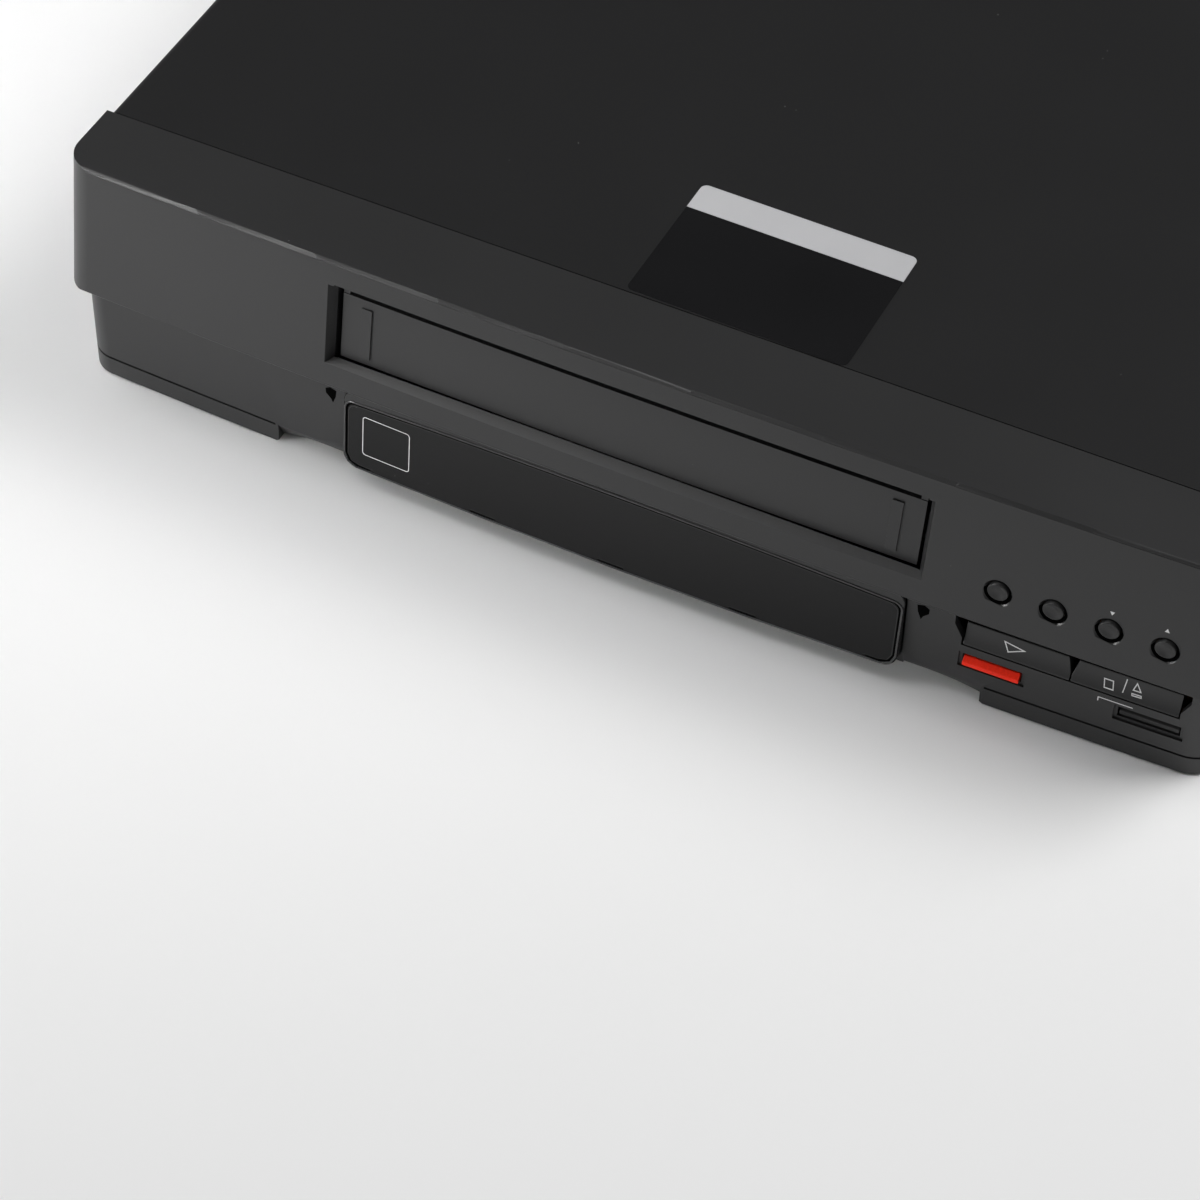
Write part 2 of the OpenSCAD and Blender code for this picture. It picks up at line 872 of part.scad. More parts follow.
// Bowed plate of the door between two depths behind the face
module door_plate(d0, d1) {
    lean_space()
        translate([0, 0, -10])
            linear_extrude(90)
                difference() {
                    translate([0, upper_bow_r + d0])
                        circle(r = upper_bow_r, $fn = 1600);
                    translate([0, upper_bow_r + d1])
                        circle(r = upper_bow_r, $fn = 1600);
                }
}

module cassette_door() {
    lug_w = door_hw - cas_w / 2 - 0.9;
    rib_x = door_hw - 8.6;
    color([0.22, 0.22, 0.23])
        union() {
            intersection() {
                door_plate(door_recess, door_recess + door_t);
                translate([-door_hw, front_y - 5, door_z0])
                    cube([2 * door_hw, 30, door_top_z - door_z0]);
            }
            for (s = [-1, 1]) {
                intersection() {
                    door_plate(door_recess - 0.6, door_recess + 1);
                    translate([s * rib_x - door_rib_w / 2, front_y - 5, door_z0 + 2.5])
                        cube([door_rib_w, 30, door_top_z - door_z0 - 5.3]);
                }
                // lug that reaches back to the hinge pin
                x0 = s > 0 ? door_hw - lug_w : -door_hw;
                rod_x(hinge_y, hinge_z, x0, x0 + lug_w, 2.2);
                intersection() {
                    translate([x0, front_y, hinge_z - 9])
                        cube([lug_w, hinge_y - front_y + 1, 9]);
                    lean_space()
                        translate([-half_w, door_recess + 1, -10])
                            cube([2 * half_w, 30, 90]);
                    translate([x0, hinge_y, hinge_z - 2])
                        rotate([0, 90, 0])
                            cylinder(r = 8, h = lug_w);
                }
                rod_x(hinge_y, hinge_z, s > 0 ? door_hw - 1 : -tunnel_hw - 2.2,
                    s > 0 ? tunnel_hw + 2.2 : -door_hw + 1, door_pin_r);
            }
        }
}

// A small torsion spring round the end of the left hinge pin, outside the wall
module door_spring() {
    color([0.75, 0.76, 0.78])
        for (i = [0 : 2])
            translate([-tunnel_hw - panel_wall - 1.3 - i * 0.9, hinge_y, hinge_z])
                rotate([0, 90, 0])
                    rotate_extrude($fn = 32)
                        translate([2.2, 0])
                            circle(r = 0.4, $fn = 16);
}

// CONTROLS

module rewind_button() {
    color([0.2, 0.2, 0.21]) round_button(0);
}

module forward_button() {
    color([0.2, 0.2, 0.21]) round_button(1);
}

module channel_down_button() {
    color([0.2, 0.2, 0.21]) round_button(2);
}

module channel_up_button() {
    color([0.2, 0.2, 0.21]) round_button(3);
}

module play_key() {
    color([0.22, 0.22, 0.23]) wide_key(key_x0, key_split, 1);
}

module stop_eject_key() {
    color([0.22, 0.22, 0.23]) wide_key(key_split, key_x1, -1);
}

module record_key() {
    color([0.85, 0.13, 0.08]) bar_key(record_x, record_w, 0.9);
}

module power_key() {
    color([0.05, 0.05, 0.05]) bar_key(power_x, power_w, -1.2);
}

// (x, z) of every switch
switch_places = [
    [button_x(0), button_z], [button_x(1), button_z], [button_x(2), button_z], [button_x(3), button_z],
    [(key_x0 + key_split) / 2, (key_z0 + key_z1) / 2], [(key_split + key_x1) / 2, (key_z0 + key_z1) / 2],
    [record_x, bar_z], [power_x, bar_z]
];

module front_board() {
    color([0.1, 0.3, 0.14])
        translate([stand_xs[0] - 4, board_y, stand_zs[0] - 4])
            cube([stand_xs[1] - stand_xs[0] + 8, board_t, stand_zs[1] - stand_zs[0] + 8]);
}

module tact_switches() {
    color([0.15, 0.15, 0.15])
        for (p = switch_places) {
            translate([p[0] - 3, board_y - 2, p[1] - 3])
                cube([6, 2, 6]);
            rod_y(p[0], p[1], plunger_y, board_y - 2, 1.7);
        }
}

module remote_sensor() {
    color([0.3, 0.3, 0.32])
        union() {
            translate([sensor_x - sensor_w / 2 - 6, sensor_y, sensor_z - 9])
                cube([sensor_w + 12, board_t, 18]);
            translate([sensor_x - 5, sensor_y - 4, sensor_z - 6])
                cube([10, 4, 12]);
            translate([sensor_x, sensor_y - 4, sensor_z])
                sphere(r = 3);
        }
}

// CASSETTE LOADING

bracket_x = cas_w / 2 + 4.5;
plate_x = bracket_x + bracket_t + 0.5;
holder_x = cas_w / 2 + 1;
pin_x1 = plate_x + bracket_t + 0.6;
cheek_r = 4.5;
// the door swings in past the waiting holder: each edge keeps clear of its path
function clear_of_door(z) = hinge_y + sqrt(swing_r * swing_r - pow(hinge_z - z, 2)) + 1.2;
front_pin_y = clear_of_door(cas_z + 7 + cheek_r) + cheek_r + load_in;
rear_pin_y = lid_y - 5;
front_pin_z = cas_z + 7;
rear_pin_z = cas_z + 15;
slot_r = guide_pin_r + slot_gap;
bracket_y0 = front_pin_y - load_in - 5;
bracket_y1 = lid_y + 17;
bracket_z1 = cas_z + cas_h + 3.4;
sync_y = lid_y + 10;
pinion_m = 1;
pinion_pitch_r = pinion_teeth * pinion_m / 2;
sync_z = cas_z + 11;
rack_z = sync_z + pinion_pitch_r;
tooth_pitch = PI * pinion_m;
tooth_w = tooth_pitch / 2 - 0.3;

// A slot in (y, z) from a to b, as an outline
module slot_2d(a, b) {
    lo = [min(a[0], b[0]), min(a[1], b[1])];
    span = [abs(a[0] - b[0]), abs(a[1] - b[1])];
    translate(lo - (span[0] > span[1] ? [0, slot_r] : [slot_r, 0]))
        square(span[0] > span[1] ? [span[0], 2 * slot_r] : [2 * slot_r, span[1]]);
    translate(a)
        circle(r = slot_r);
    translate(b)
        circle(r = slot_r);
}

// The path of one guide pin: in along Y, then down
module l_slot_2d(y, z) {
    slot_2d([y - load_in, z], [y, z]);
    slot_2d([y, z - load_down], [y, z]);
}

// Draws a (y, z) outline as an upright plate at x
module side_plate(x, t) {
    translate([x, 0, 0])
        rotate([90, 0, 90])
            linear_extrude(t)
                children();
}

module bracket(s) {
    x0 = s > 0 ? bracket_x : -bracket_x - bracket_t;
    difference() {
        union() {
            side_plate(x0, bracket_t)
                difference() {
                    translate([bracket_y0, deck_z])
                        square([bracket_y1 - bracket_y0, bracket_z1 - deck_z]);
                    l_slot_2d(front_pin_y, front_pin_z);
                    l_slot_2d(rear_pin_y, rear_pin_z);
                    // window that lightens the plate
                    translate([bracket_y0 + 12, deck_z + 7])
                        square([front_pin_y - bracket_y0 - 24, 7]);
                    translate([sync_y, sync_z])
                        circle(r = sync_r + run_gap);
                }
            translate([s > 0 ? x0 : x0 - 4.5, bracket_y0 + 6, deck_z])
                cube([bracket_t + 4.5, 18, bracket_t]);
            translate([s > 0 ? x0 : x0 - 4.5, bracket_y1 - 24, deck_z])
                cube([bracket_t + 4.5, 18, bracket_t]);
        }
    }
}

module left_bracket() {
    color([0.6, 0.61, 0.62]) bracket(-1);
}

module right_bracket() {
    color([0.6, 0.61, 0.62]) bracket(1);
}

module bracket_bridge() {
    span = bracket_x + bracket_t;
    color([0.62, 0.63, 0.64])
        translate([0, 0, bracket_z1])
            linear_extrude(holder_t) {
                translate([-span, rear_pin_y - 70])
                    square([2 * span, 14]);
                translate([-span, rear_pin_y - 18])
                    square([2 * span, 14]);
                translate([-14, rear_pin_y - 60])
                    square([28, 46]);
            }
}

// Slide plate: carries both pins along Y, and leaves them free to drop
module slide_outline() {
    bar_z0 = rack_z + 1.1;
    rack_last = floor((load_in + 4) / tooth_pitch);
    difference() {
        union() {
            translate([front_pin_y - 6, front_pin_z - load_down - 8])
                square([rear_pin_y + 6 - front_pin_y + 6, bar_z0 + 4 - front_pin_z + load_down + 8]);
            translate([rear_pin_y, bar_z0])
                square([sync_y - rear_pin_y + (rack_last + 1) * tooth_pitch, 4]);
            for (i = [-2 : rack_last])
                translate([sync_y + (i + 0.5) * tooth_pitch, rack_z])
                    rack_tooth();
        }
        slot_2d([front_pin_y, front_pin_z - load_down], [front_pin_y, front_pin_z]);
        slot_2d([rear_pin_y, rear_pin_z - load_down], [rear_pin_y, rear_pin_z]);
        translate([front_pin_y + 9, front_pin_z - 12])
            square([rear_pin_y - front_pin_y - 18, 14]);
    }
}

module rack_tooth() {
    t = tan(20);
    polygon([
        [-tooth_w / 2 - 1.15 * t, 1.15], [-tooth_w / 2 + 0.85 * t, -0.85],
        [tooth_w / 2 - 0.85 * t, -0.85], [tooth_w / 2 + 1.15 * t, 1.15]
    ]);
}

module slide_plates() {
    color([0.7, 0.71, 0.72])
        for (s = [-1, 1])
            side_plate(s > 0 ? plate_x : -plate_x - bracket_t, bracket_t)
                slide_outline();
}

holder_y0 = hinge_y + swing_r + 1.2 + load_in;
holder_y1 = lid_y + 2;
lip_y0 = clear_of_door(cas_z) + load_in;
lip_w = 13;

module cassette_holder() {
    top_z = cas_z + cas_h + 0.8;
    color([0.72, 0.73, 0.74])
        union() {
            for (s = [-1, 1]) {
                x_in = s * holder_x;
                translate([min(x_in, x_in + s * holder_t), holder_y0, cas_z - holder_t])
                    cube([holder_t, holder_y1 - holder_y0, top_z - cas_z + 2 * holder_t]);
                translate([s > 0 ? x_in - lip_w : x_in - holder_t, lip_y0, cas_z - holder_t])
                    cube([lip_w + holder_t, holder_y1 - lip_y0, holder_t]);
                // cheek that carries the front pin, below the swing of the door
                rod_x(front_pin_y, front_pin_z, min(x_in, x_in + s * holder_t),
                    max(x_in, x_in + s * holder_t), cheek_r);
                translate([min(x_in, x_in + s * holder_t), front_pin_y - cheek_r, cas_z - holder_t])
                    cube([holder_t, 2 * cheek_r + 1, front_pin_z - cas_z + holder_t]);
                // stop at the back corner
                translate([s > 0 ? x_in - 8 : x_in, holder_y1 - holder_t, cas_z])
                    cube([8, holder_t, cas_h]);
                rod_x(front_pin_y, front_pin_z, s > 0 ? holder_x : -pin_x1, s > 0 ? pin_x1 : -holder_x,
                    guide_pin_r);
                rod_x(rear_pin_y, rear_pin_z, s > 0 ? holder_x : -pin_x1, s > 0 ? pin_x1 : -holder_x,
                    guide_pin_r);
            }
            difference() {
                translate([-holder_x - holder_t, holder_y0, top_z])
                    cube([2 * (holder_x + holder_t), holder_y1 - holder_y0, holder_t]);
                translate([-52, holder_y0 + 9, top_z - 1])
                    cube([104, holder_y1 - holder_y0 - 18, holder_t + 2]);
            }
        }
}

module pinion_2d() {
    circle(r = pinion_pitch_r - 1.25);
    for (i = [0 : pinion_teeth - 1])
        rotate(i * 360 / pinion_teeth)
            polygon([
                [-0.95, pinion_pitch_r - 1.6], [-tooth_w / 2, pinion_pitch_r],
                [-0.28, pinion_pitch_r + 0.85], [0.28, pinion_pitch_r + 0.85],
                [tooth_w / 2, pinion_pitch_r], [0.95, pinion_pitch_r - 1.6]
            ]);
}

module sync_shaft() {
    x1 = plate_x + bracket_t + 0.8;
    color([0.78, 0.79, 0.8])
        union() {
            rod_x(sync_y, sync_z, -x1, x1, sync_r);
            for (s = [-1, 1])
                translate([s > 0 ? plate_x : -plate_x - bracket_t, sync_y, sync_z])
                    rotate([90, 0, 90])
                        linear_extrude(bracket_t)
                            pinion_2d();
        }
}

// DECK

deck_hw = bracket_x + bracket_t + 7;
deck_y0 = bracket_y0;
deck_y1 = rear_y - 16;
post_xs = [-deck_hw + 6, deck_hw - 6];
post_ys = [seam_y + 8, deck_y1 - 8];
pinch_pivot = [capstan_x + 16, lid_y + 11];
// where the roller stands with the tape running, and where it waits
pinch_at_work = [capstan_x - 2, capstan_y + capstan_r + pinch_r + 0.25];
pinch_swing = 40;
arm_v = pinch_at_work - pinch_pivot;
pinch_at_rest = pinch_pivot + [
    arm_v[0] * cos(-pinch_swing) - arm_v[1] * sin(-pinch_swing),
    arm_v[0] * sin(-pinch_swing) + arm_v[1] * cos(-pinch_swing)
];
// guide tracks: an arc from the cassette's mouth to the side of the drum
guide_from = [33, lid_y - 7];
guide_to = [41, drum_y + 4];
guide_bulge = 8;
guide_chord = norm(guide_to - guide_from);
guide_track_r = (guide_chord * guide_chord / 4 + guide_bulge * guide_bulge) / (2 * guide_bulge);
guide_n = [(guide_to - guide_from)[1], -(guide_to - guide_from)[0]] / guide_chord;
guide_hub = (guide_from + guide_to) / 2 - guide_n * (guide_track_r - guide_bulge);
guide_a0 = atan2(guide_from[1] - guide_hub[1], guide_from[0] - guide_hub[0]);
guide_a1 = atan2(guide_to[1] - guide_hub[1], guide_to[0] - guide_hub[0]);
cam_x = -70;
cam_y = drum_y + 8;
cam_r = 20;
worm_x = cam_x - cam_r - 4.4;
worm_z = deck_z + 10;
drive_gear_r = 16;
idler_reach = drive_gear_r + idler_r + 0.3;
wheel_z0 = deck_z + 3.6;
wheel_z1 = play_z - 1;

module guide_track_2d() {
    w = 2.6;
    for (m = [0, 1])
        mirror([m, 0])
            translate(guide_hub) {
                rotate(guide_a0)
                    intersection() {
                        difference() {
                            circle(r = guide_track_r + w, $fn = 180);
                            circle(r = guide_track_r - w, $fn = 180);
                        }
                        sector(guide_a1 - guide_a0);
                    }
                for (a = [guide_a0, guide_a1])
                    rotate(a)
                        translate([guide_track_r, 0])
                            circle(r = w + 0.2);
            }
}

// A wedge from the X axis round by the angle given
module sector(a) {
    polygon([[0, 0], [150, 0], [150 * cos(a / 2), 150 * sin(a / 2)], [150 * cos(a), 150 * sin(a)]]);
}

module deck_plate() {
    color([0.66, 0.67, 0.68])
        translate([0, 0, deck_z - deck_t])
            linear_extrude(deck_t)
                difference() {
                    translate([-deck_hw, deck_y0])
                        square([2 * deck_hw, deck_y1 - deck_y0]);
                    guide_track_2d();
                    translate([capstan_x, capstan_y])
                        circle(r = 5);
                    translate([0, pulley_y])
                        circle(r = 2 + run_gap);
                    // lightening holes
                    for (s = [-1, 1])
                        translate([s * 82, deck_y1 - 26])
                            circle(r = 9);
                    translate([-30, deck_y0 + 5])
                        square([60, 8]);
                }
}

module deck_posts() {
    color([0.6, 0.6, 0.6])
        for (x = post_xs)
            for (y = post_ys)
                translate([x, y, tray_top])
                    cylinder(r = 3.5, h = deck_z - deck_t - tray_top);
}

module deck_shafts() {
    color([0.8, 0.8, 0.82]) {
        for (s = [-1, 1])
            translate([s * reel_x, reel_y, deck_z])
                cylinder(r = 1.5, h = 20);
        translate([pinch_pivot[0], pinch_pivot[1], deck_z])
            cylinder(r = 2, h = 10);
        translate([cam_x, cam_y, deck_z])
            cylinder(r = 2, h = 13);
    }
}

module guide_posts() {
    color([0.82, 0.82, 0.84])
        for (p = [[-76, lid_y + 3], [74, lid_y + 22]])
            translate([p[0], p[1], deck_z]) {
                cylinder(r = 2.2, h = 22);
                translate([0, 0, 8])
                    cylinder(r = 3.6, h = 1.5);
                translate([0, 0, 20.5])
                    cylinder(r = 3.6, h = 1.5);
            }
}

// The drum's own space, tilted back about its foot
module drum_space() {
    translate([0, drum_y, deck_z])
        rotate([drum_tilt, 0, 0])
            children();
}

module lower_drum() {
    color([0.8, 0.81, 0.83]) {
        drum_space()
            difference() {
                union() {
                    translate([0, 0, 4])
                        cylinder(r = drum_r + 1.5, h = 3, $fn = 96);
                    translate([0, 0, 7])
                        cylinder(r = drum_r, h = 12, $fn = 96);
                    translate([0, 0, 19])
                        cylinder(r = 6, h = 1);
                }
                translate([0, 0, 3])
                    cylinder(r = 3 + run_gap, h = 20);
            }
        // foot that holds the drum on the deck
        difference() {
            translate([0, drum_y, deck_z])
                cylinder(r = drum_r - 6, h = 9.5);
            drum_space() {
                translate([0, 0, 4])
                    cylinder(r = drum_r + 4, h = 30);
                translate([0, 0, -6])
                    cylinder(r = 4, h = 30);
            }
        }
    }
}

module upper_drum() {
    color([0.85, 0.86, 0.88])
        drum_space()
            union() {
                difference() {
                    translate([0, 0, 20.5])
                        cylinder(r = drum_r, h = 12, $fn = 96);
                    translate([0, 0, 28])
                        cylinder(r = drum_r - 5, h = 6, $fn = 96);
                    // two head windows
                    for (a = [0, 180])
                        rotate([0, 0, a])
                            translate([drum_r - 1.5, -3, 20])
                                cube([4, 6, 2.5]);
                }
                translate([0, 0, 5])
                    cylinder(r = 3, h = 23.5);
                cylinder_ring(28, 30, 9, 3);
            }
}

// A ring between two heights
module cylinder_ring(z0, z1, r_out, r_in) {
    translate([0, 0, z0])
        difference() {
            cylinder(r = r_out, h = z1 - z0);
            translate([0, 0, -1])
                cylinder(r = r_in - 1, h = z1 - z0 + 2);
        }
}

module drum_motor() {
    color([0.25, 0.25, 0.28])
        difference() {
            drum_space() {
                // a fixed bar over the drum, held at its back edge
                translate([-9, -10, 34])
                    cube([18, drum_r + 14, 1.5]);
                translate([-9, drum_r + 2.2, -8])
                    cube([18, 1.8, 43.5]);
                translate([0, 0, 33])
                    cylinder(r = 7, h = 1.5);
            }
            slab(drum_y, drum_y + 60, deck_z - 20, deck_z);
        }
}

// CAPSTAN AND REEL DRIVE

flywheel_z0 = tray_top + 3;
flywheel_h = 6;
belt_z0 = flywheel_z0 + flywheel_h + 1.2;
belt_h = 2.6;
capstan_pulley_r = 6.5;
belt_pulley_r = 15;

module capstan() {
    color([0.75, 0.76, 0.78])
        translate([capstan_x, capstan_y, 0])
            union() {
                translate([0, 0, flywheel_z0])
                    cylinder(r = 21, h = flywheel_h, $fn = 96);
                translate([0, 0, flywheel_z0 + flywheel_h])
                    cylinder(r = capstan_pulley_r, h = belt_h + 2);
                translate([0, 0, belt_z0])
                    cylinder(r = capstan_r, h = cas_z - 1.5 - belt_z0);
            }
}

module capstan_bearing() {
    color([0.7, 0.6, 0.35])
        tube(capstan_x, capstan_y, deck_z - deck_t, deck_z + 1.5, 5, capstan_r + run_gap);
}

module capstan_stator() {
    color([0.12, 0.32, 0.16])
        union() {
            translate([capstan_x - 25, capstan_y - 25, tray_top])
                cube([50, 50, 1.6]);
            for (a = [0 : 60 : 300])
                translate([capstan_x + 13 * cos(a), capstan_y + 13 * sin(a), tray_top + 1.6])
                    cylinder(r = 5.5, h = 1);
        }
}

module centre_pulley() {
    color([0.88, 0.88, 0.85])
        translate([0, pulley_y, 0])
            union() {
                difference() {
                    translate([0, 0, belt_z0 - 1])
                        cylinder(r = belt_pulley_r + 2, h = belt_h + 2, $fn = 96);
                    translate([0, 0, belt_z0 - 0.35])
                        difference() {
                            cylinder(r = belt_pulley_r + 5, h = belt_h + 0.7, $fn = 96);
                            translate([0, 0, -1])
                                cylinder(r = belt_pulley_r, h = belt_h + 3, $fn = 96);
                        }
                }
                translate([0, 0, belt_z0])
                    cylinder(r = 2, h = wheel_z1 - belt_z0);
                translate([0, 0, wheel_z0])
                    cylinder(r = drive_gear_r, h = wheel_z1 - wheel_z0, $fn = 96);
            }
}

module drive_belt() {
    color([0.08, 0.08, 0.08])
        translate([0, 0, belt_z0])
            linear_extrude(belt_h)
                difference() {
                    belt_outline(1.3);
                    belt_outline(0.3);
                }
}

module belt_outline(grow) {
    hull() {
        translate([capstan_x, capstan_y])
            circle(r = capstan_pulley_r + grow, $fn = 40);
        translate([0, pulley_y])
            circle(r = belt_pulley_r + grow, $fn = 64);
    }
}

module reel(s) {
    translate([s * reel_x, reel_y, 0])
        difference() {
            union() {
                translate([0, 0, deck_z + 0.3])
                    cylinder(r = 6, h = wheel_z0 - deck_z - 0.3);
                translate([0, 0, wheel_z0])
                    cylinder(r = reel_r, h = wheel_z1 - wheel_z0, $fn = 96);
                translate([0, 0, wheel_z1])
                    cylinder(r = 9, h = 2.5);
                translate([0, 0, wheel_z1 + 2.5])
                    cylinder(r = 4.6, h = 11);
                for (a = [0 : 60 : 300])
                    rotate([0, 0, a])
                        translate([0, -0.9, wheel_z1 + 2.5])
                            cube([7.4, 1.8, 9]);
            }
            translate([0, 0, deck_z - 1])
                cylinder(r = 1.5 + run_gap, h = 40);
        }
}

module supply_reel() {
    color([0.15, 0.15, 0.16]) reel(-1);
}

module takeup_reel() {
    color([0.15, 0.15, 0.16]) reel(1);
}

module idler_arm() {
    color([0.7, 0.71, 0.73])
        union() {
            translate([0, 0, deck_z + 0.6])
                linear_extrude(1.8)
                    difference() {
                        union() {
                            translate([0, pulley_y])
                                circle(r = 6);
                            translate([-4, pulley_y - idler_reach])
                                square([8, idler_reach]);
                            translate([0, pulley_y - idler_reach])
                                circle(r = 4);
                        }
                        translate([0, pulley_y])
                            circle(r = 2 + run_gap);
                    }
            translate([0, pulley_y - idler_reach, deck_z + 0.6])
                cylinder(r = 1.5, h = wheel_z1 - deck_z - 0.6);
        }
}

module idler_wheel() {
    color([0.12, 0.12, 0.12])
        tube(0, pulley_y - idler_reach, wheel_z0, wheel_z1, idler_r, 1.5 + run_gap);
}

// TAPE PATH

module pinch_arm() {
    p = pinch_pivot;
    q = pinch_at_rest;
    d = q - p;
    color([0.7, 0.71, 0.73])
        difference() {
            union() {
                translate([p[0], p[1], deck_z + 0.4])
                    cylinder(r = 5, h = 8);
                translate([q[0], q[1], deck_z + 2])
                    cylinder(r = 3.5, h = 2.5);
                translate([p[0], p[1], deck_z + 2])
                    rotate([0, 0, atan2(d[1], d[0])])
                        translate([0, -3, 0])
                            cube([norm(d), 6, 2.5]);
                translate([q[0], q[1], deck_z + 4])
                    cylinder(r = 1.5, h = cas_z - 2 - deck_z - 4);
            }
            translate([p[0], p[1], deck_z - 1])
                cylinder(r = 2 + run_gap, h = 20);
        }
}

module pinch_roller() {
    q = pinch_at_rest;
    color([0.1, 0.1, 0.1])
        difference() {
            translate([q[0], q[1], deck_z + 4.9])
                cylinder(r = pinch_r, h = cas_z - 2.4 - deck_z - 4.9);
            translate([q[0], q[1], deck_z])
                cylinder(r = 1.5 + run_gap, h = 50);
        }
}

// A guide base on its track, with its upright roller and its slanted post
module tape_guide(s) {
    x = s * guide_from[0];
    y = guide_from[1];
    union() {
        translate([x, y, deck_z + 0.3])
            cylinder(r = 6, h = 4);
        translate([x, y, deck_z - deck_t - 0.3])
            cylinder(r = 2.3, h = deck_t + 1);
        translate([x, y, deck_z - deck_t - 1.5])
            cylinder(r = 4.4, h = 1.2);
        translate([x, y, deck_z + 4])
            cylinder(r = 1.2, h = 18);
        translate([x, y, deck_z + 6])
            cylinder(r = 2.8, h = 14);
        translate([x, y, deck_z + 21])
            cylinder(r = 3.4, h = 1.5);
        translate([x + s * 4, y - 1, deck_z + 3.6])
            rotate([0, s * 9, 0])
                cylinder(r = 1, h = 16);
    }
}

module supply_guide() {
    color([0.82, 0.82, 0.84]) tape_guide(-1);
}

module takeup_guide() {
    color([0.82, 0.82, 0.84]) tape_guide(1);
}

module tape_head(x, y, w, d) {
    union() {
        translate([x - w / 2, y - d / 2, deck_z])
            cube([w, d, 5]);
        translate([x - w / 2 + 1.5, y - d / 2 + 1, deck_z + 5])
            cube([w - 3, d - 2, 17]);
    }
}

module erase_head() {
    color([0.5, 0.5, 0.52]) tape_head(-62, lid_y + 18, 14, 9);
}

module audio_head() {
    color([0.5, 0.5, 0.52]) tape_head(61, lid_y + 29, 12, 9);
}

// LOADING DRIVE

cam_teeth = 24;

module cam_gear() {
    color([0.9, 0.9, 0.87])
        translate([cam_x, cam_y, 0])
            difference() {
                union() {
                    translate([0, 0, deck_z + 0.4])
                        cylinder(r = 7, h = 8);
                    translate([0, 0, worm_z - 2])
                        linear_extrude(4)
                            union() {
                                circle(r = cam_r - 1.6, $fn = 96);
                                for (i = [0 : cam_teeth - 1])
                                    rotate((i + 0.5) * 360 / cam_teeth)
                                        translate([cam_r - 2.2, -1.1])
                                            square([2.4, 2.2]);
                            }
                }
                translate([0, 0, deck_z - 1])
                    cylinder(r = 2 + run_gap, h = 30);
                // spiral cam groove, simplified to an off-centre ring
                translate([3, 0, worm_z + 0.8])
                    difference() {
                        cylinder(r = 13, h = 3);
                        translate([0, 0, -1])
                            cylinder(r = 10, h = 6);
                    }
            }
}

motor_back = 13.5;
worm_pitch = 2 * PI * cam_r / cam_teeth;

module worm() {
    y0 = cam_y - 9;
    color([0.92, 0.92, 0.88])
        union() {
            rod_y(worm_x, worm_z, y0, cam_y + motor_back + 3, 1.5);
            rod_y(worm_x, worm_z, cam_y - 7, cam_y + 7, 2.7);
            for (i = [-1 : 1])
                rod_y(worm_x, worm_z, cam_y + i * worm_pitch - 0.9, cam_y + i * worm_pitch + 0.9, 3.9);
        }
}

module loading_motor() {
    y0 = cam_y + motor_back;
    color([0.6, 0.61, 0.63])
        difference() {
            union() {
                rod_y(worm_x, worm_z, y0, y0 + 22, 8.5);
                translate([worm_x - 7, y0 + 1, deck_z])
                    cube([14, 20, 8]);
                translate([worm_x - 3, cam_y - 10, deck_z])
                    cube([6, y0 - cam_y + 14, 1.5]);
                // bearing for the far end of the worm
                translate([worm_x - 3, cam_y - 10.5, deck_z])
                    cube([6, 3, worm_z - deck_z + 3]);
            }
            rod_y(worm_x, worm_z, cam_y - 12, y0 + 4, 1.5 + run_gap);
        }
}

// ELECTRICS

board_y0 = seam_y + 8;
board_y1 = rear_y - 8;

module main_board() {
    color([0.1, 0.32, 0.14])
        union() {
            translate([board_in_x, board_y0, board_z])
                cube([board_out_x - board_in_x, board_y1 - board_y0, board_t]);
            // chips and cans, seated on the board
            translate([board_in_x + 12, board_y0 + 20, board_z + board_t])
                cube([22, 22, 3]);
            translate([board_in_x + 44, board_y0 + 30, board_z + board_t])
                cube([14, 30, 4]);
            for (i = [0 : 3])
                translate([board_in_x + 14 + i * 15, board_y0 + 84, board_z + board_t])
                    cylinder(r = 4, h = 11);
        }
}

module power_board() {
    color([0.45, 0.33, 0.16])
        union() {
            translate([-board_out_x, board_y0, board_z])
                cube([board_out_x - board_in_x, board_y1 - board_y0, board_t]);
            for (i = [0 : 2])
                translate([-board_out_x + 16 + i * 22, board_y1 - 76, board_z + board_t])
                    cylinder(r = 7, h = 24);
            // heat sink
            translate([-board_out_x + 10, board_y0 + 34, board_z + board_t])
                for (i = [0 : 6])
                    translate([i * 7, 0, 0])
                        cube([1.6, 24, 26]);
            translate([-board_out_x + 10, board_y0 + 34, board_z + board_t])
                cube([43.6, 24, 2]);
        }
}

module power_transformer() {
    x = -(board_in_x + board_out_x) / 2;
    y = board_y1 - 32;
    z = board_z + board_t;
    color([0.35, 0.33, 0.3])
        union() {
            translate([x - 24, y - 10, z])
                cube([48, 20, 40]);
            translate([x - 15, y - 18, z + 7])
                cube([30, 36, 26]);
        }
}

module tuner_box() {
    z = board_z + board_t;
    color([0.75, 0.76, 0.78])
        union() {
            translate([tuner_x0, board_y1 - 50, z])
                cube([tuner_x1 - tuner_x0, rear_y - sheet_t - 0.3 - board_y1 + 50, 22]);
            translate([switch_x - 8, rear_y - 14, z + 22])
                cube([20, 14 - sheet_t - 2, switch_z + 4 - z - 22]);
        }
}

module antenna_sockets() {
    color([0.8, 0.8, 0.82])
        for (x = aerial_x)
            difference() {
                rod_y(x, aerial_z, rear_y - sheet_t - 0.3, rear_y + socket_out, aerial_r);
                rod_y(x, aerial_z, rear_y + 2, rear_y + socket_out + 1, 2.2);
            }
}

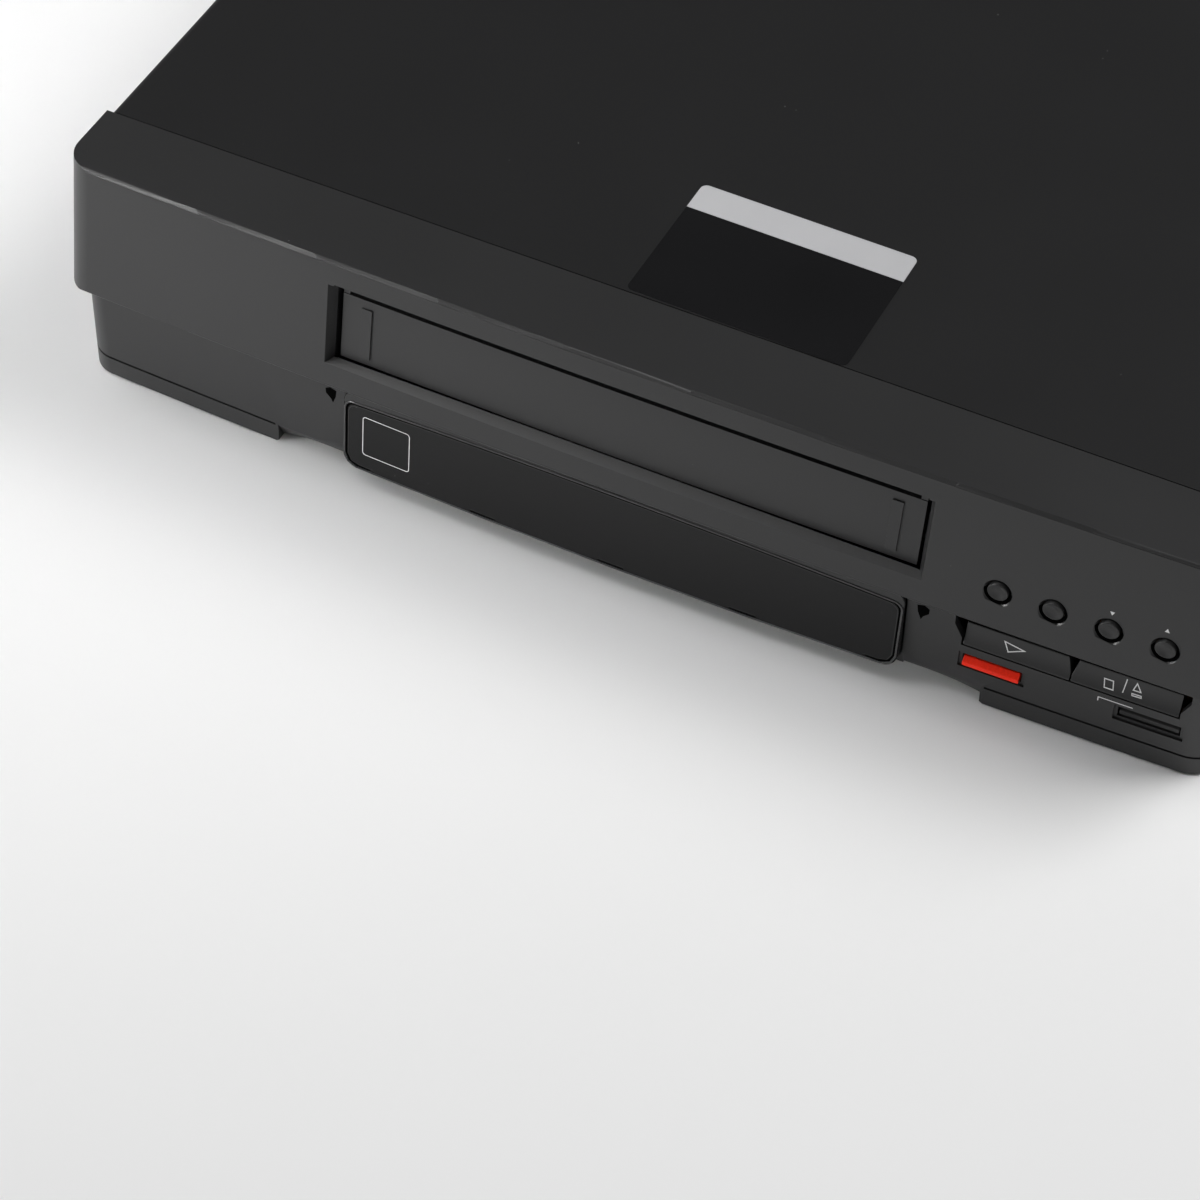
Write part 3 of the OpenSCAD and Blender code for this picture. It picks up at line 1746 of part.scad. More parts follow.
module signal_jacks() {
    x0 = jack_x[0] - jack_side;
    z = board_z + board_t;
    color([0.1, 0.1, 0.1])
        union() {
            translate([x0, rear_y - 16, z])
                cube([jack_pitch + 2 * jack_side, 16 - sheet_t - 0.3, jack_z[1] + 9 - z]);
            for (x = jack_x)
                for (jz = jack_z)
                    difference() {
                        rod_y(x, jz, rear_y - 3, rear_y + 9, jack_r);
                        rod_y(x, jz, rear_y - 1, rear_y + 10, 1.8);
                    }
        }
}

module channel_switch() {
    color([0.08, 0.08, 0.08])
        union() {
            translate([switch_x - 2.5, rear_y - 2.7, switch_z - 1.8])
                cube([5, 4.5, 3.6]);
        }
}

module cord_gland() {
    color([0.08, 0.08, 0.08])
        difference() {
            union() {
                rod_y(gland_x, gland_z, rear_y - sheet_t - 3, rear_y - sheet_t, gland_r + 3.4);
                rod_y(gland_x, gland_z, rear_y - sheet_t - 1, rear_y + 1, gland_r + 1.9);
                rod_y(gland_x, gland_z, rear_y, rear_y + 4, gland_r + 3.4);
            }
            rod_y(gland_x, gland_z, rear_y - 10, rear_y + 10, gland_r);
        }
}

top_cover();
bottom_tray();
rear_panel();
feet();
cover_screws();
front_panel();
window_lens();
cassette_door();
door_spring();
rewind_button();
forward_button();
channel_down_button();
channel_up_button();
play_key();
stop_eject_key();
record_key();
power_key();
front_board();
tact_switches();
remote_sensor();
left_bracket();
right_bracket();
bracket_bridge();
slide_plates();
cassette_holder();
sync_shaft();
deck_plate();
deck_posts();
deck_shafts();
guide_posts();
lower_drum();
upper_drum();
drum_motor();
capstan();
capstan_bearing();
capstan_stator();
centre_pulley();
drive_belt();
supply_reel();
takeup_reel();
idler_arm();
idler_wheel();
pinch_arm();
pinch_roller();
supply_guide();
takeup_guide();
erase_head();
audio_head();
loading_motor();
worm();
cam_gear();
main_board();
power_board();
power_transformer();
tuner_box();
antenna_sockets();
signal_jacks();
channel_switch();
cord_gland();
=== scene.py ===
import json
import math

import bpy
from bpy.props import FloatProperty, FloatVectorProperty
from mathutils import Matrix, Vector

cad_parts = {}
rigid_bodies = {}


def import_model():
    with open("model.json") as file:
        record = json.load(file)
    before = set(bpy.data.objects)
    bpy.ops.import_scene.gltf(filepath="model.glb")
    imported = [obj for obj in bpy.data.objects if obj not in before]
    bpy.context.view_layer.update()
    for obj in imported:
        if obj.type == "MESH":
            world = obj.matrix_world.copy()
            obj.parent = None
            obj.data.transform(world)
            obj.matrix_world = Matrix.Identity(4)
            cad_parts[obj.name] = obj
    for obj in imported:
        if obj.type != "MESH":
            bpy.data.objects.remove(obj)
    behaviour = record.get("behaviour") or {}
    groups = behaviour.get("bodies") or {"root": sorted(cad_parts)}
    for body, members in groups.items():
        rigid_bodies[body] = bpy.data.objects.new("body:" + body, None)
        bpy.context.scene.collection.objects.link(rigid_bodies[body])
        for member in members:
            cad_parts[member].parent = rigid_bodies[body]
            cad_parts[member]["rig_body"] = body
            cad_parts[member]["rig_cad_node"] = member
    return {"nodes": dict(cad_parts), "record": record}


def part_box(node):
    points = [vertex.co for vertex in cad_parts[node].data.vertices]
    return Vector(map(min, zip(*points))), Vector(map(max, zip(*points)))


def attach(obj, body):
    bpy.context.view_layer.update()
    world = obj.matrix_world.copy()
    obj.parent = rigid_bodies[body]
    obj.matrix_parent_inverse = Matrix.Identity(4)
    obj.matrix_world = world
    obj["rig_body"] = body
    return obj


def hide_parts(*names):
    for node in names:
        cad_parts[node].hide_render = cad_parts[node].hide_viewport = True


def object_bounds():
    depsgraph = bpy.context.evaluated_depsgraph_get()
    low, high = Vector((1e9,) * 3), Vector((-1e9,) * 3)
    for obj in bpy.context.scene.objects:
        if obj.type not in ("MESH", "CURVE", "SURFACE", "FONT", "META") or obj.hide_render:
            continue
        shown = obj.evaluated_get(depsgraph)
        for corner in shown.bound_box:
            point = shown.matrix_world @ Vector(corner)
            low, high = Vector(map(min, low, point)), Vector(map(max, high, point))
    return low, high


bl_info = {
    "name": "Video Cassette Recorder",
    "version": (1, 0, 0),
    "blender": (4, 5, 0),
    "location": "3D View > Sidebar > Recorder",
    "description": "Dresses the packed video cassette recorder with its skins, marks and finishes",
    "category": "Object",
}

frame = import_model()
cad_low, cad_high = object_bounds()

MM = 0.001

HOOD_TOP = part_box("top_cover")[1].z
LENS_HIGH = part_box("window_lens")[1]

ROUND_BUTTONS = ("rewind_button", "forward_button", "channel_down_button", "channel_up_button")
KEYS = ("play_key", "stop_eject_key", "record_key", "power_key")

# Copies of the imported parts: vertices this close are merged, faces this flat are joined (degrees)
MERGE_DISTANCE = 0.002 * MM
FLAT_ANGLE = 0.05

# Button parts turned round their axis: (radius, depth behind the panel's face), in millimetres
BUTTON_WELL_R = 4.47
CAP_OUTLINE = (
    (0.0, 0.12), (0.9, 0.07), (1.7, -0.1), (2.4, -0.36), (2.75, -0.52), (3.0, -0.54),
    (3.2, -0.42), (3.27, -0.2), (3.27, 1.7), (0.0, 1.7),
)
# The well's ring is painted black: painted shade in the gap round the cap
WELL_SHADE_OUTLINE = ((BUTTON_WELL_R, 0.07), (3.55, 0.86), (3.55, 1.3), (3.7, 1.3), (4.5, 0.3))


# Steps round a turned part, and how far past a well's rim the panel's lean is measured
TURN_STEPS = 64
LEAN_REACH = 2.0

# The smoked window's rim, in millimetres: its arched top falls from the middle to the sides
WINDOW_HALF_WIDTH = 94.8
WINDOW_TOP = 36.9
WINDOW_FALL = 3.4
WINDOW_STEPS = 32
WINDOW_ARCH_END = 2.6
WINDOW_CORNER_R = 5.0
WINDOW_EDGE = 0.15

# Corners of the rim: (from the side, below the arch's end), and (from the side, height, inset's share)
WINDOW_HIGH_CORNER = ((1.2, 0.7), (0.3, 1.8), (0.0, 3.2))
WINDOW_LOW_CORNER = ((0.0, 11.8, 0.0), (1.4, 8.6, 0.5), (4.6, 7.2, 1.0))

# Marks are drawn flat this far before the front, then laid on it
MARK_DISTANCE = 5 * MM

# Signs and marks on the front: (x, z) corners in millimetres
PLAY_TRIANGLE = ((125.5, 28.9), (127.4, 25.6), (132.8, 27.7))
STOP_SQUARE = ((157.0, 28.0), (157.6, 25.0), (160.7, 25.0), (160.1, 28.0))
SLASH = ((163.4, 25.4), (163.8, 30.0))
EJECT_TRIANGLE = ((166.0, 27.0), (168.9, 27.0), (166.9, 30.0))
EJECT_BAR = ((166.1, 25.3), (169.3, 25.4), (169.1, 26.3), (165.9, 26.2))
CHANNEL_ARROWS = (
    ((156.4, 60.7), (157.9, 60.7), (157.2, 59.4)),
    ((173.0, 60.0), (174.5, 60.0), (173.7, 61.3)),
)
BRACKET_LINES = (((156.7, 19.6), (156.7, 21.2)), ((156.6, 21.2), (167.4, 21.2)))
# Outline of a black patch of painted shade for the dark pocket under the step
STEP_POCKET_SHADE = (
    (-102.4, 33.3), (-100.7, 34.4), (-98.4, 33.7), (-98.8, 30.9),
    (-99.9, 28.0), (-100.6, 29.6), (-102.3, 31.3),
)

# Outline over the sensor: left, right, bottom and top, its corners, and its share of the line width
SENSOR_BOX = (-88.1, -71.1, 13.7, 29.2)
SENSOR_CORNER_R = 1.2
SENSOR_LINE_SHARE = 0.8

# The sticker on the hood, in millimetres and degrees
STICKER_CENTRE = (21.45, -77.65)
STICKER_TURN = 0.66
STICKER_CORNER_R = 2.2
STICKER_THICKNESS = 0.1

# Soft lights: name, place and target in metres, width, height, watts, spread in degrees
LIGHTS = (
    ("left_softbox", (-0.88, -0.3, 1.7), (0, 0, 0), 1.0, 1.0, 15.3, 180),
    ("right_softbox", (1.1, 0.75, 1.75), (0, 0, 0), 1.2, 1.2, 33, 180),
    ("front_softbox", (-1.1, -0.95, 0.32), (-0.32, -0.14, 0.11), 0.5, 0.3, 1.0, 30),
)
WORLD_STRENGTH = 0.13
FLOOR_SIZE = 12

# The photograph's viewpoint: degrees, and millimetres
CAMERA_TURN = 25.39
CAMERA_DOWN = 47.52
CAMERA_ROLL = 1.37
CAMERA_PLACE = (333.27, -850.86, 847.12)
CAMERA_SENSOR = 36.0
CAMERA_LENS = 111.6921


# Sizes and colours that a user would change

class RecorderSizes(bpy.types.PropertyGroup):
    edge_break: FloatProperty(
        name="Edge break",
        description="Radius that softens the moulded edges",
        default=0.3 * MM, min=0.0, max=1.0 * MM, unit="LENGTH",
    )
    sheet_edge_break: FloatProperty(
        name="Sheet edge break",
        description="Radius that softens the edges of the bent sheet",
        default=0.2 * MM, min=0.0, max=1.0 * MM, unit="LENGTH",
    )
    line_width: FloatProperty(
        name="Line width",
        description="Width of the printed lines",
        default=0.34 * MM, min=0.1 * MM, max=1.0 * MM, unit="LENGTH",
    )
    ink_height: FloatProperty(
        name="Ink height",
        description="How far the printed lines stand off the plastic",
        default=0.04 * MM, min=0.01 * MM, max=0.2 * MM, unit="LENGTH",
    )
    sticker_width: FloatProperty(
        name="Sticker width",
        description="Width of the bare sticker on the hood",
        default=72.7 * MM, min=20 * MM, max=120 * MM, unit="LENGTH",
    )
    sticker_depth: FloatProperty(
        name="Sticker depth",
        description="Depth of the bare sticker on the hood",
        default=53.5 * MM, min=20 * MM, max=120 * MM, unit="LENGTH",
    )
    sticker_band: FloatProperty(
        name="Sticker band",
        description="Depth of the pale band along the sticker's rear edge",
        default=11.8 * MM, min=2 * MM, max=40 * MM, unit="LENGTH",
    )


class RecorderColours(bpy.types.PropertyGroup):
    hood: FloatVectorProperty(
        name="Hood", description="Paint of the hood", subtype="COLOR",
        default=(0.0075, 0.0075, 0.0078), min=0.0, max=1.0,
    )
    panel: FloatVectorProperty(
        name="Panel", description="Moulded front and its keys", subtype="COLOR",
        default=(0.012, 0.012, 0.0123), min=0.0, max=1.0,
    )
    window: FloatVectorProperty(
        name="Window", description="Smoked window under the door", subtype="COLOR",
        default=(0.004, 0.004, 0.0042), min=0.0, max=1.0,
    )
    record_bar: FloatVectorProperty(
        name="Record bar", description="Red record bar", subtype="COLOR",
        default=(0.66, 0.018, 0.004), min=0.0, max=1.0,
    )
    ink: FloatVectorProperty(
        name="Ink", description="Printed lines", subtype="COLOR",
        default=(0.55, 0.55, 0.55), min=0.0, max=1.0,
    )
    sticker_dark: FloatVectorProperty(
        name="Sticker dark", description="Dark part of the bare sticker", subtype="COLOR",
        default=(0.006, 0.006, 0.0065), min=0.0, max=1.0,
    )
    sticker_pale: FloatVectorProperty(
        name="Sticker pale", description="Pale band of the bare sticker", subtype="COLOR",
        default=(0.42, 0.42, 0.43), min=0.0, max=1.0,
    )
    floor: FloatVectorProperty(
        name="Floor", description="Floor that the recorder stands on", subtype="COLOR",
        default=(0.84, 0.84, 0.84), min=0.0, max=1.0,
    )


# Selecting and finishing pieces

def select_only(*objects):
    """Selects these objects alone, the first one active."""
    if bpy.context.mode != "OBJECT":
        bpy.ops.object.mode_set(mode="OBJECT")
    bpy.ops.object.select_all(action="DESELECT")
    for item in objects:
        item.select_set(True)
    bpy.context.view_layer.objects.active = objects[0]


def settle(piece):
    """Puts the piece's place into its mesh, so that its object stands at the origin."""
    select_only(piece)
    bpy.ops.object.transform_apply(location=True, rotation=True, scale=True)
    return piece


def apply_modifiers(piece):
    """Applies the piece's modifiers in their order."""
    select_only(piece)
    for modifier in list(piece.modifiers):
        bpy.ops.object.modifier_apply(modifier=modifier.name)


def paint(piece, material):
    """Gives the piece this one material."""
    if not piece.material_slots:
        piece.data.materials.append(material)
    for place in piece.material_slots:
        place.material = material


def body_of_node(node):
    """Name of the moving body that holds this CAD node."""
    for name, members in frame["record"]["behaviour"]["bodies"].items():
        if node in members:
            return name
    raise RuntimeError(f"no body holds {node}")


def skin(node, edge_break, segments=2, smooth_angle=32.0):
    """A copy of a CAD node with merged faces and softened edges, which stands for it."""
    source = frame["nodes"][node]
    select_only(source)
    bpy.ops.object.duplicate()
    piece = bpy.context.active_object
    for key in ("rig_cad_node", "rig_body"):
        if key in piece:
            del piece[key]
    piece.name = node + "_skin"
    piece.data.name = piece.name
    piece.parent = None
    select_only(piece)
    bpy.ops.object.mode_set(mode="EDIT")
    bpy.ops.mesh.select_all(action="SELECT")
    bpy.ops.mesh.customdata_custom_splitnormals_clear()
    bpy.ops.mesh.remove_doubles(threshold=MERGE_DISTANCE)
    bpy.ops.mesh.dissolve_degenerate(threshold=MERGE_DISTANCE)
    bpy.ops.mesh.dissolve_limited(angle_limit=math.radians(FLAT_ANGLE))
    bpy.ops.object.mode_set(mode="OBJECT")
    if edge_break > 0:
        bevel = piece.modifiers.new("edge_break", "BEVEL")
        bevel.limit_method = "ANGLE"
        bevel.angle_limit = math.radians(30)
        bevel.width = edge_break
        bevel.segments = segments
        bevel.use_clamp_overlap = True
        bevel.harden_normals = False
        apply_modifiers(piece)
    select_only(piece)
    bpy.ops.object.shade_smooth_by_angle(angle=math.radians(smooth_angle))
    even = piece.modifiers.new("even_normals", "WEIGHTED_NORMAL")
    even.keep_sharp = True
    apply_modifiers(piece)
    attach(piece, body_of_node(node))
    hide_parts(node)
    return piece


# Materials: shared effects are node groups

def add_node(tree, kind, **values):
    """A new shader node with these attributes."""
    node = tree.nodes.new(kind)
    for name, value in values.items():
        setattr(node, name, value)
    return node


def new_group(name, inputs, outputs):
    """An empty node group with these (name, kind, default) inputs and (name, kind) outputs."""
    group = bpy.data.node_groups.new(name, "ShaderNodeTree")
    for label, kind, default in inputs:
        socket = group.interface.new_socket(label, in_out="INPUT", socket_type=kind)
        if default is not None:
            socket.default_value = default
    for label, kind in outputs:
        group.interface.new_socket(label, in_out="OUTPUT", socket_type=kind)
    start = group.nodes.new("NodeGroupInput")
    end = group.nodes.new("NodeGroupOutput")
    return group, start, end


def math_node(tree, operation, first, second):
    """A math node; each side is a socket or a number."""
    node = add_node(tree, "ShaderNodeMath", operation=operation)
    for place, value in enumerate((first, second)):
        if isinstance(value, (int, float)):
            node.inputs[place].default_value = value
        else:
            tree.links.new(value, node.inputs[place])
    return node.outputs[0]


def grain_group():
    """Fine moulded or sprayed texture: a relief, and a slow patchiness."""
    group, start, end = new_group(
        "grain",
        [("Vector", "NodeSocketVector", None), ("Scale", "NodeSocketFloat", 4000.0)],
        [("Relief", "NodeSocketFloat"), ("Patch", "NodeSocketFloat")],
    )
    links = group.links
    fine = add_node(group, "ShaderNodeTexNoise")
    fine.inputs["Detail"].default_value = 2.0
    fine.inputs["Roughness"].default_value = 0.55
    links.new(start.outputs["Vector"], fine.inputs["Vector"])
    links.new(start.outputs["Scale"], fine.inputs["Scale"])
    patch = add_node(group, "ShaderNodeTexNoise")
    patch.inputs["Scale"].default_value = 22.0
    patch.inputs["Detail"].default_value = 3.0
    links.new(start.outputs["Vector"], patch.inputs["Vector"])
    links.new(fine.outputs["Fac"], end.inputs["Relief"])
    links.new(patch.outputs["Fac"], end.inputs["Patch"])
    return group


def specks_group():
    """Sparse specks of dust: small cells of a Voronoi pattern, thinned by a second one."""
    group, start, end = new_group(
        "specks",
        [
            ("Vector", "NodeSocketVector", None),
            ("Scale", "NodeSocketFloat", 260.0),
            ("Share", "NodeSocketFloat", 0.06),
            ("Size", "NodeSocketFloat", 0.05),
        ],
        [("Mask", "NodeSocketFloat")],
    )
    links = group.links
    cells = add_node(group, "ShaderNodeTexVoronoi")
    links.new(start.outputs["Vector"], cells.inputs["Vector"])
    links.new(start.outputs["Scale"], cells.inputs["Scale"])
    split = add_node(group, "ShaderNodeSeparateColor")
    links.new(cells.outputs["Color"], split.inputs["Color"])
    near = math_node(group, "LESS_THAN", cells.outputs["Distance"], start.outputs["Size"])
    chosen = math_node(group, "LESS_THAN", split.outputs[0], start.outputs["Share"])
    both = math_node(group, "MULTIPLY", near, chosen)
    links.new(math_node(group, "MULTIPLY", both, split.outputs[1]), end.inputs["Mask"])
    return group


def shared_group(name, make):
    """The node group of this name, made on its first use."""
    return bpy.data.node_groups.get(name) or make()


class Finish:
    """A Principled material being put together: where it reads its pattern, and its links."""

    def __init__(self, name, roughness=0.5, metallic=0.0):
        self.material = bpy.data.materials.new(name)
        self.material.use_nodes = True
        self.tree = self.material.node_tree
        self.shader = next(n for n in self.tree.nodes if n.type == "BSDF_PRINCIPLED")
        self.shader.inputs["Roughness"].default_value = roughness
        self.shader.inputs["Metallic"].default_value = metallic
        self.place = add_node(self.tree, "ShaderNodeTexCoord").outputs["Object"]

    def link(self, source, target):
        self.tree.links.new(source, target)

    def group(self, name, make, **values):
        """A shared node group on this material's Object coordinates."""
        node = add_node(self.tree, "ShaderNodeGroup", node_tree=shared_group(name, make))
        self.link(self.place, node.inputs["Vector"])
        for label, value in values.items():
            node.inputs[label].default_value = value
        return node

    def mix(self, factor, first, second):
        """Colour that goes from first to second by the factor socket."""
        node = add_node(self.tree, "ShaderNodeMix", data_type="RGBA")
        self.link(factor, node.inputs["Factor"])
        for label, value in (("A", first), ("B", second)):
            socket = next(s for s in node.inputs if s.name == label and s.type == "RGBA")
            if isinstance(value, bpy.types.NodeSocket):
                self.link(value, socket)
            else:
                socket.default_value = (*value[:3], 1.0)
        return next(s for s in node.outputs if s.type == "RGBA")

    def span(self, source, low, high):
        """Maps the source from 0..1 to low..high."""
        node = add_node(self.tree, "ShaderNodeMapRange")
        node.inputs["To Min"].default_value = low
        node.inputs["To Max"].default_value = high
        self.link(source, node.inputs["Value"])
        return node.outputs["Result"]

    def colour(self, source):
        self.link(source, self.shader.inputs["Base Color"])

    def rough(self, source):
        self.link(source, self.shader.inputs["Roughness"])

    def relief(self, source, depth, strength=1.0):
        """Bumps of this depth, in metres, from the source."""
        bump = add_node(self.tree, "ShaderNodeBump")
        bump.inputs["Distance"].default_value = depth
        bump.inputs["Strength"].default_value = strength
        self.link(source, bump.inputs["Height"])
        self.link(bump.outputs["Normal"], self.shader.inputs["Normal"])

    def shader_value(self, **values):
        for label, value in values.items():
            self.shader.inputs[label.replace("_", " ")].default_value = value


def shade(colour, factor):
    """The colour made darker or lighter by the factor."""
    return tuple(min(1.0, c * factor) for c in colour[:3])


def moulded(name, colour, roughness=0.5, grain=2600.0, depth=0.02, dust=0.05, shine=0.5):
    """Satin moulded plastic or textured paint, with fine grain and a few specks of dust."""
    finish = Finish(name)
    grain_node = finish.group("grain", grain_group, Scale=grain)
    tone = finish.mix(grain_node.outputs["Patch"], shade(colour, 0.88), shade(colour, 1.12))
    mottled = finish.mix(
        finish.span(grain_node.outputs["Relief"], 0.0, 1.0), tone, shade(colour, 1.5)
    )
    specks = finish.group("specks", specks_group, Share=dust)
    up = add_node(finish.tree, "ShaderNodeNewGeometry")
    split = add_node(finish.tree, "ShaderNodeSeparateXYZ")
    finish.link(up.outputs["Normal"], split.inputs["Vector"])
    facing = math_node(finish.tree, "MAXIMUM", split.outputs["Z"], 0.15)
    amount = math_node(finish.tree, "MULTIPLY", specks.outputs["Mask"], facing)
    finish.colour(finish.mix(amount, mottled, (0.3, 0.3, 0.3)))
    finish.rough(finish.span(grain_node.outputs["Patch"], roughness - 0.04, roughness + 0.05))
    finish.relief(grain_node.outputs["Relief"], depth * MM)
    finish.shader_value(Specular_IOR_Level=shine)
    return finish


def glossy(name, colour, roughness=0.12, dust=0.08):
    """Polished dark plastic with faint smears and dust."""
    finish = Finish(name)
    grain_node = finish.group("grain", grain_group, Scale=700.0)
    specks = finish.group("specks", specks_group, Share=dust, Scale=420.0)
    tone = finish.mix(grain_node.outputs["Patch"], shade(colour, 0.85), shade(colour, 1.2))
    finish.colour(finish.mix(specks.outputs["Mask"], tone, (0.16, 0.16, 0.16)))
    finish.rough(finish.span(grain_node.outputs["Patch"], roughness * 0.8, roughness * 1.4))
    finish.relief(grain_node.outputs["Patch"], 0.02 * MM, 0.3)
    finish.shader_value(Specular_IOR_Level=0.28)
    return finish


def painted_shade_finish():
    """Dull black painted into gaps, wells and pockets: painted shade standing in for the shade that
    falls there.
    """
    made = bpy.data.materials.get("gap_black")
    if made is None:
        # Black with no shine, used as painted shade
        made = moulded("gap_black", (0.0015, 0.0015, 0.0015), 0.85, dust=0.0, shine=0.0).material
    return made


def metal(name, colour, roughness=0.35, along=(1.0, 30.0, 30.0), depth=0.004):
    """Drawn, turned or plated metal: fine lines along one direction."""
    finish = Finish(name, metallic=1.0)
    stretch = add_node(finish.tree, "ShaderNodeMapping")
    stretch.inputs["Scale"].default_value = along
    finish.link(finish.place, stretch.inputs["Vector"])
    lines = add_node(finish.tree, "ShaderNodeTexNoise")
    lines.inputs["Scale"].default_value = 90.0
    lines.inputs["Detail"].default_value = 4.0
    finish.link(stretch.outputs["Vector"], lines.inputs["Vector"])
    finish.colour(finish.mix(lines.outputs["Fac"], shade(colour, 0.82), shade(colour, 1.12)))
    finish.rough(finish.span(lines.outputs["Fac"], roughness - 0.08, roughness + 0.12))
    finish.relief(lines.outputs["Fac"], depth * MM)
    return finish


def circuit_board(name, colour):
    """Board lacquer over a faint pattern of tracks and pads."""
    finish = Finish(name, roughness=0.42)
    tracks = add_node(finish.tree, "ShaderNodeTexBrick")
    tracks.inputs["Scale"].default_value = 120.0
    tracks.inputs["Mortar Size"].default_value = 0.03
    tracks.inputs["Color1"].default_value = (*shade(colour, 0.85), 1.0)
    tracks.inputs["Color2"].default_value = (*shade(colour, 1.05), 1.0)
    tracks.inputs["Mortar"].default_value = (*shade(colour, 1.7), 1.0)
    finish.link(finish.place, tracks.inputs["Vector"])
    specks = finish.group("specks", specks_group, Share=0.5, Scale=300.0, Size=0.16)
    finish.colour(finish.mix(specks.outputs["Mask"], tracks.outputs["Color"], (0.55, 0.53, 0.48)))
    finish.relief(tracks.outputs["Fac"], 0.02 * MM, 0.5)
    return finish


def record_finishes():
    """One finish for each slot of the record, by the kind of surface that it names."""
    colours = bpy.context.scene.recorder_colours
    finishes = {}
    for entry in frame["record"]["materials"]:
        slot = entry["slot"]
        colour = tuple(entry["base_color"][:3])
        kind = entry["class"]
        linear = tuple(c ** 2.2 for c in colour)
        if slot == "hood_paint":
            made = moulded(slot, colours.hood, 0.5, grain=3800.0, depth=0.03, shine=0.22)
        elif slot in ("panel_plastic", "door_plastic", "key_plastic"):
            made = moulded(slot, colours.panel, 0.38, grain=3000.0, depth=0.012)
        elif slot == "button_plastic":
            made = moulded(slot, shade(colours.panel, 0.6), 0.45, grain=3000.0, depth=0.01)
        elif slot == "power_black":
            made = moulded(slot, shade(colours.panel, 0.3), 0.4, grain=3000.0, depth=0.01)
        elif slot == "window_gloss":
            made = glossy(slot, colours.window)
        elif slot == "record_red":
            made = moulded(
                slot, colours.record_bar, 0.3, grain=1500.0, depth=0.006, dust=0.02, shine=0.25
            )
        elif slot in ("board_green", "board_brown"):
            made = circuit_board(slot, linear)
        elif kind in ("brushed_steel", "chrome", "aluminium", "brass"):
            made = metal(slot, linear, roughness=0.22 if kind == "chrome" else 0.36)
        elif kind == "rubber":
            made = moulded(slot, linear, 0.78, grain=1800.0, depth=0.03, dust=0.12)
        else:
            made = moulded(slot, linear, roughness=0.5, dust=0.02)
        finishes[slot] = made.material
    return finishes


# Small pieces on the panel

def front_of(piece, x, z):
    """Depth of the piece's front at this (x, z), in millimetres."""
    start = Vector((x * MM, cad_low.y - MARK_DISTANCE, z * MM))
    found, place = piece.ray_cast(start, Vector((0, 1, 0)))[:2]
    if not found:
        raise RuntimeError(f"{piece.name} has no front at x {x}, z {z}")
    return place.y / MM


def turned(name, profile, place, lean, material, body):
    """A ring or cap turned round Y from its (radius, depth) outline, in millimetres."""
    bpy.ops.object.select_all(action="DESELECT")
    bpy.ops.mesh.primitive_circle_add(vertices=len(profile), radius=MM, location=(0, 0, 0))
    piece = bpy.context.active_object
    piece.name = name
    piece.data.name = name
    for vertex, (radius, depth) in zip(piece.data.vertices, profile):
        vertex.co = Vector((radius * MM, depth * MM, 0))
    turn = piece.modifiers.new("turn", "SCREW")
    turn.axis = "Y"
    turn.steps = TURN_STEPS
    turn.render_steps = TURN_STEPS
    apply_modifiers(piece)
    bpy.ops.object.mode_set(mode="EDIT")
    bpy.ops.mesh.select_all(action="SELECT")
    bpy.ops.mesh.remove_doubles(threshold=0.005 * MM)
    bpy.ops.mesh.normals_make_consistent(inside=False)
    bpy.ops.object.mode_set(mode="OBJECT")
    bpy.ops.object.shade_smooth_by_angle(angle=math.radians(35))
    piece.rotation_euler = (lean, 0, 0)
    piece.location = Vector(place) * MM
    settle(piece)
    paint(piece, material)
    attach(piece, body)
    return piece


# Printed lines, and flat strips of painted shade and painted highlight: drawn flat in front of the
# panel, then laid on it

def flat_mark(name, corners):
    """A flat face through these (x, z) corners, in millimetres, in front of the panel."""
    bpy.ops.object.select_all(action="DESELECT")
    bpy.ops.mesh.primitive_circle_add(
        vertices=len(corners), radius=MM, fill_type="NGON",
        location=(0, 0, 0), rotation=(math.radians(90), 0, 0),
    )
    mark = bpy.context.active_object
    mark.name = name
    settle(mark)
    for vertex, (x, z) in zip(mark.data.vertices, corners):
        vertex.co = Vector((x * MM, cad_low.y - MARK_DISTANCE, z * MM))
    return mark


def rounded_corners(x0, x1, z0, z1, radius, steps=5):
    """(x, z) points round a rectangle with rounded corners."""
    points = []
    middles = ((x1 - radius, z1 - radius), (x0 + radius, z1 - radius),
               (x0 + radius, z0 + radius), (x1 - radius, z0 + radius))
    for quarter, (x, z) in enumerate(middles):
        for step in range(steps + 1):
            turn = math.radians(90 * (quarter + step / steps))
            points.append((x + radius * math.cos(turn), z + radius * math.sin(turn)))
    return points


def outline(mark, width):
    """Turns a flat face into a line of this width just inside its rim."""
    select_only(mark)
    bpy.ops.object.mode_set(mode="EDIT")
    bpy.ops.mesh.select_all(action="SELECT")
    bpy.ops.mesh.inset(thickness=width, depth=0)
    bpy.ops.mesh.delete(type="FACE")
    bpy.ops.object.mode_set(mode="OBJECT")
    return mark


def stroke(name, start, end, width):
    """A straight printed line between two (x, z) points, in millimetres; its width in metres."""
    a = Vector(start)
    b = Vector(end)
    side = Vector((-(b - a).y, (b - a).x)).normalized() * width / MM / 2
    return flat_mark(name, [a - side, b - side, b + side, a + side])


def lay_on(marks, name, target, ink_height, material, body):
    """Joins the marks, lays them on the target along +Y and gives them the ink's thickness."""
    select_only(*marks)
    bpy.ops.object.join()
    piece = bpy.context.active_object
    piece.name = name
    piece.data.name = name
    select_only(piece)
    bpy.ops.object.mode_set(mode="EDIT")
    bpy.ops.mesh.select_all(action="SELECT")
    bpy.ops.mesh.quads_convert_to_tris()
    bpy.ops.mesh.subdivide(number_cuts=3)
    bpy.ops.object.mode_set(mode="OBJECT")
    wrap = piece.modifiers.new("lay", "SHRINKWRAP")
    wrap.wrap_method = "PROJECT"
    wrap.use_project_y = True
    wrap.use_positive_direction = True
    wrap.use_negative_direction = False
    wrap.target = target
    wrap.offset = ink_height
    apply_modifiers(piece)
    paint(piece, material)
    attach(piece, body)
    return piece


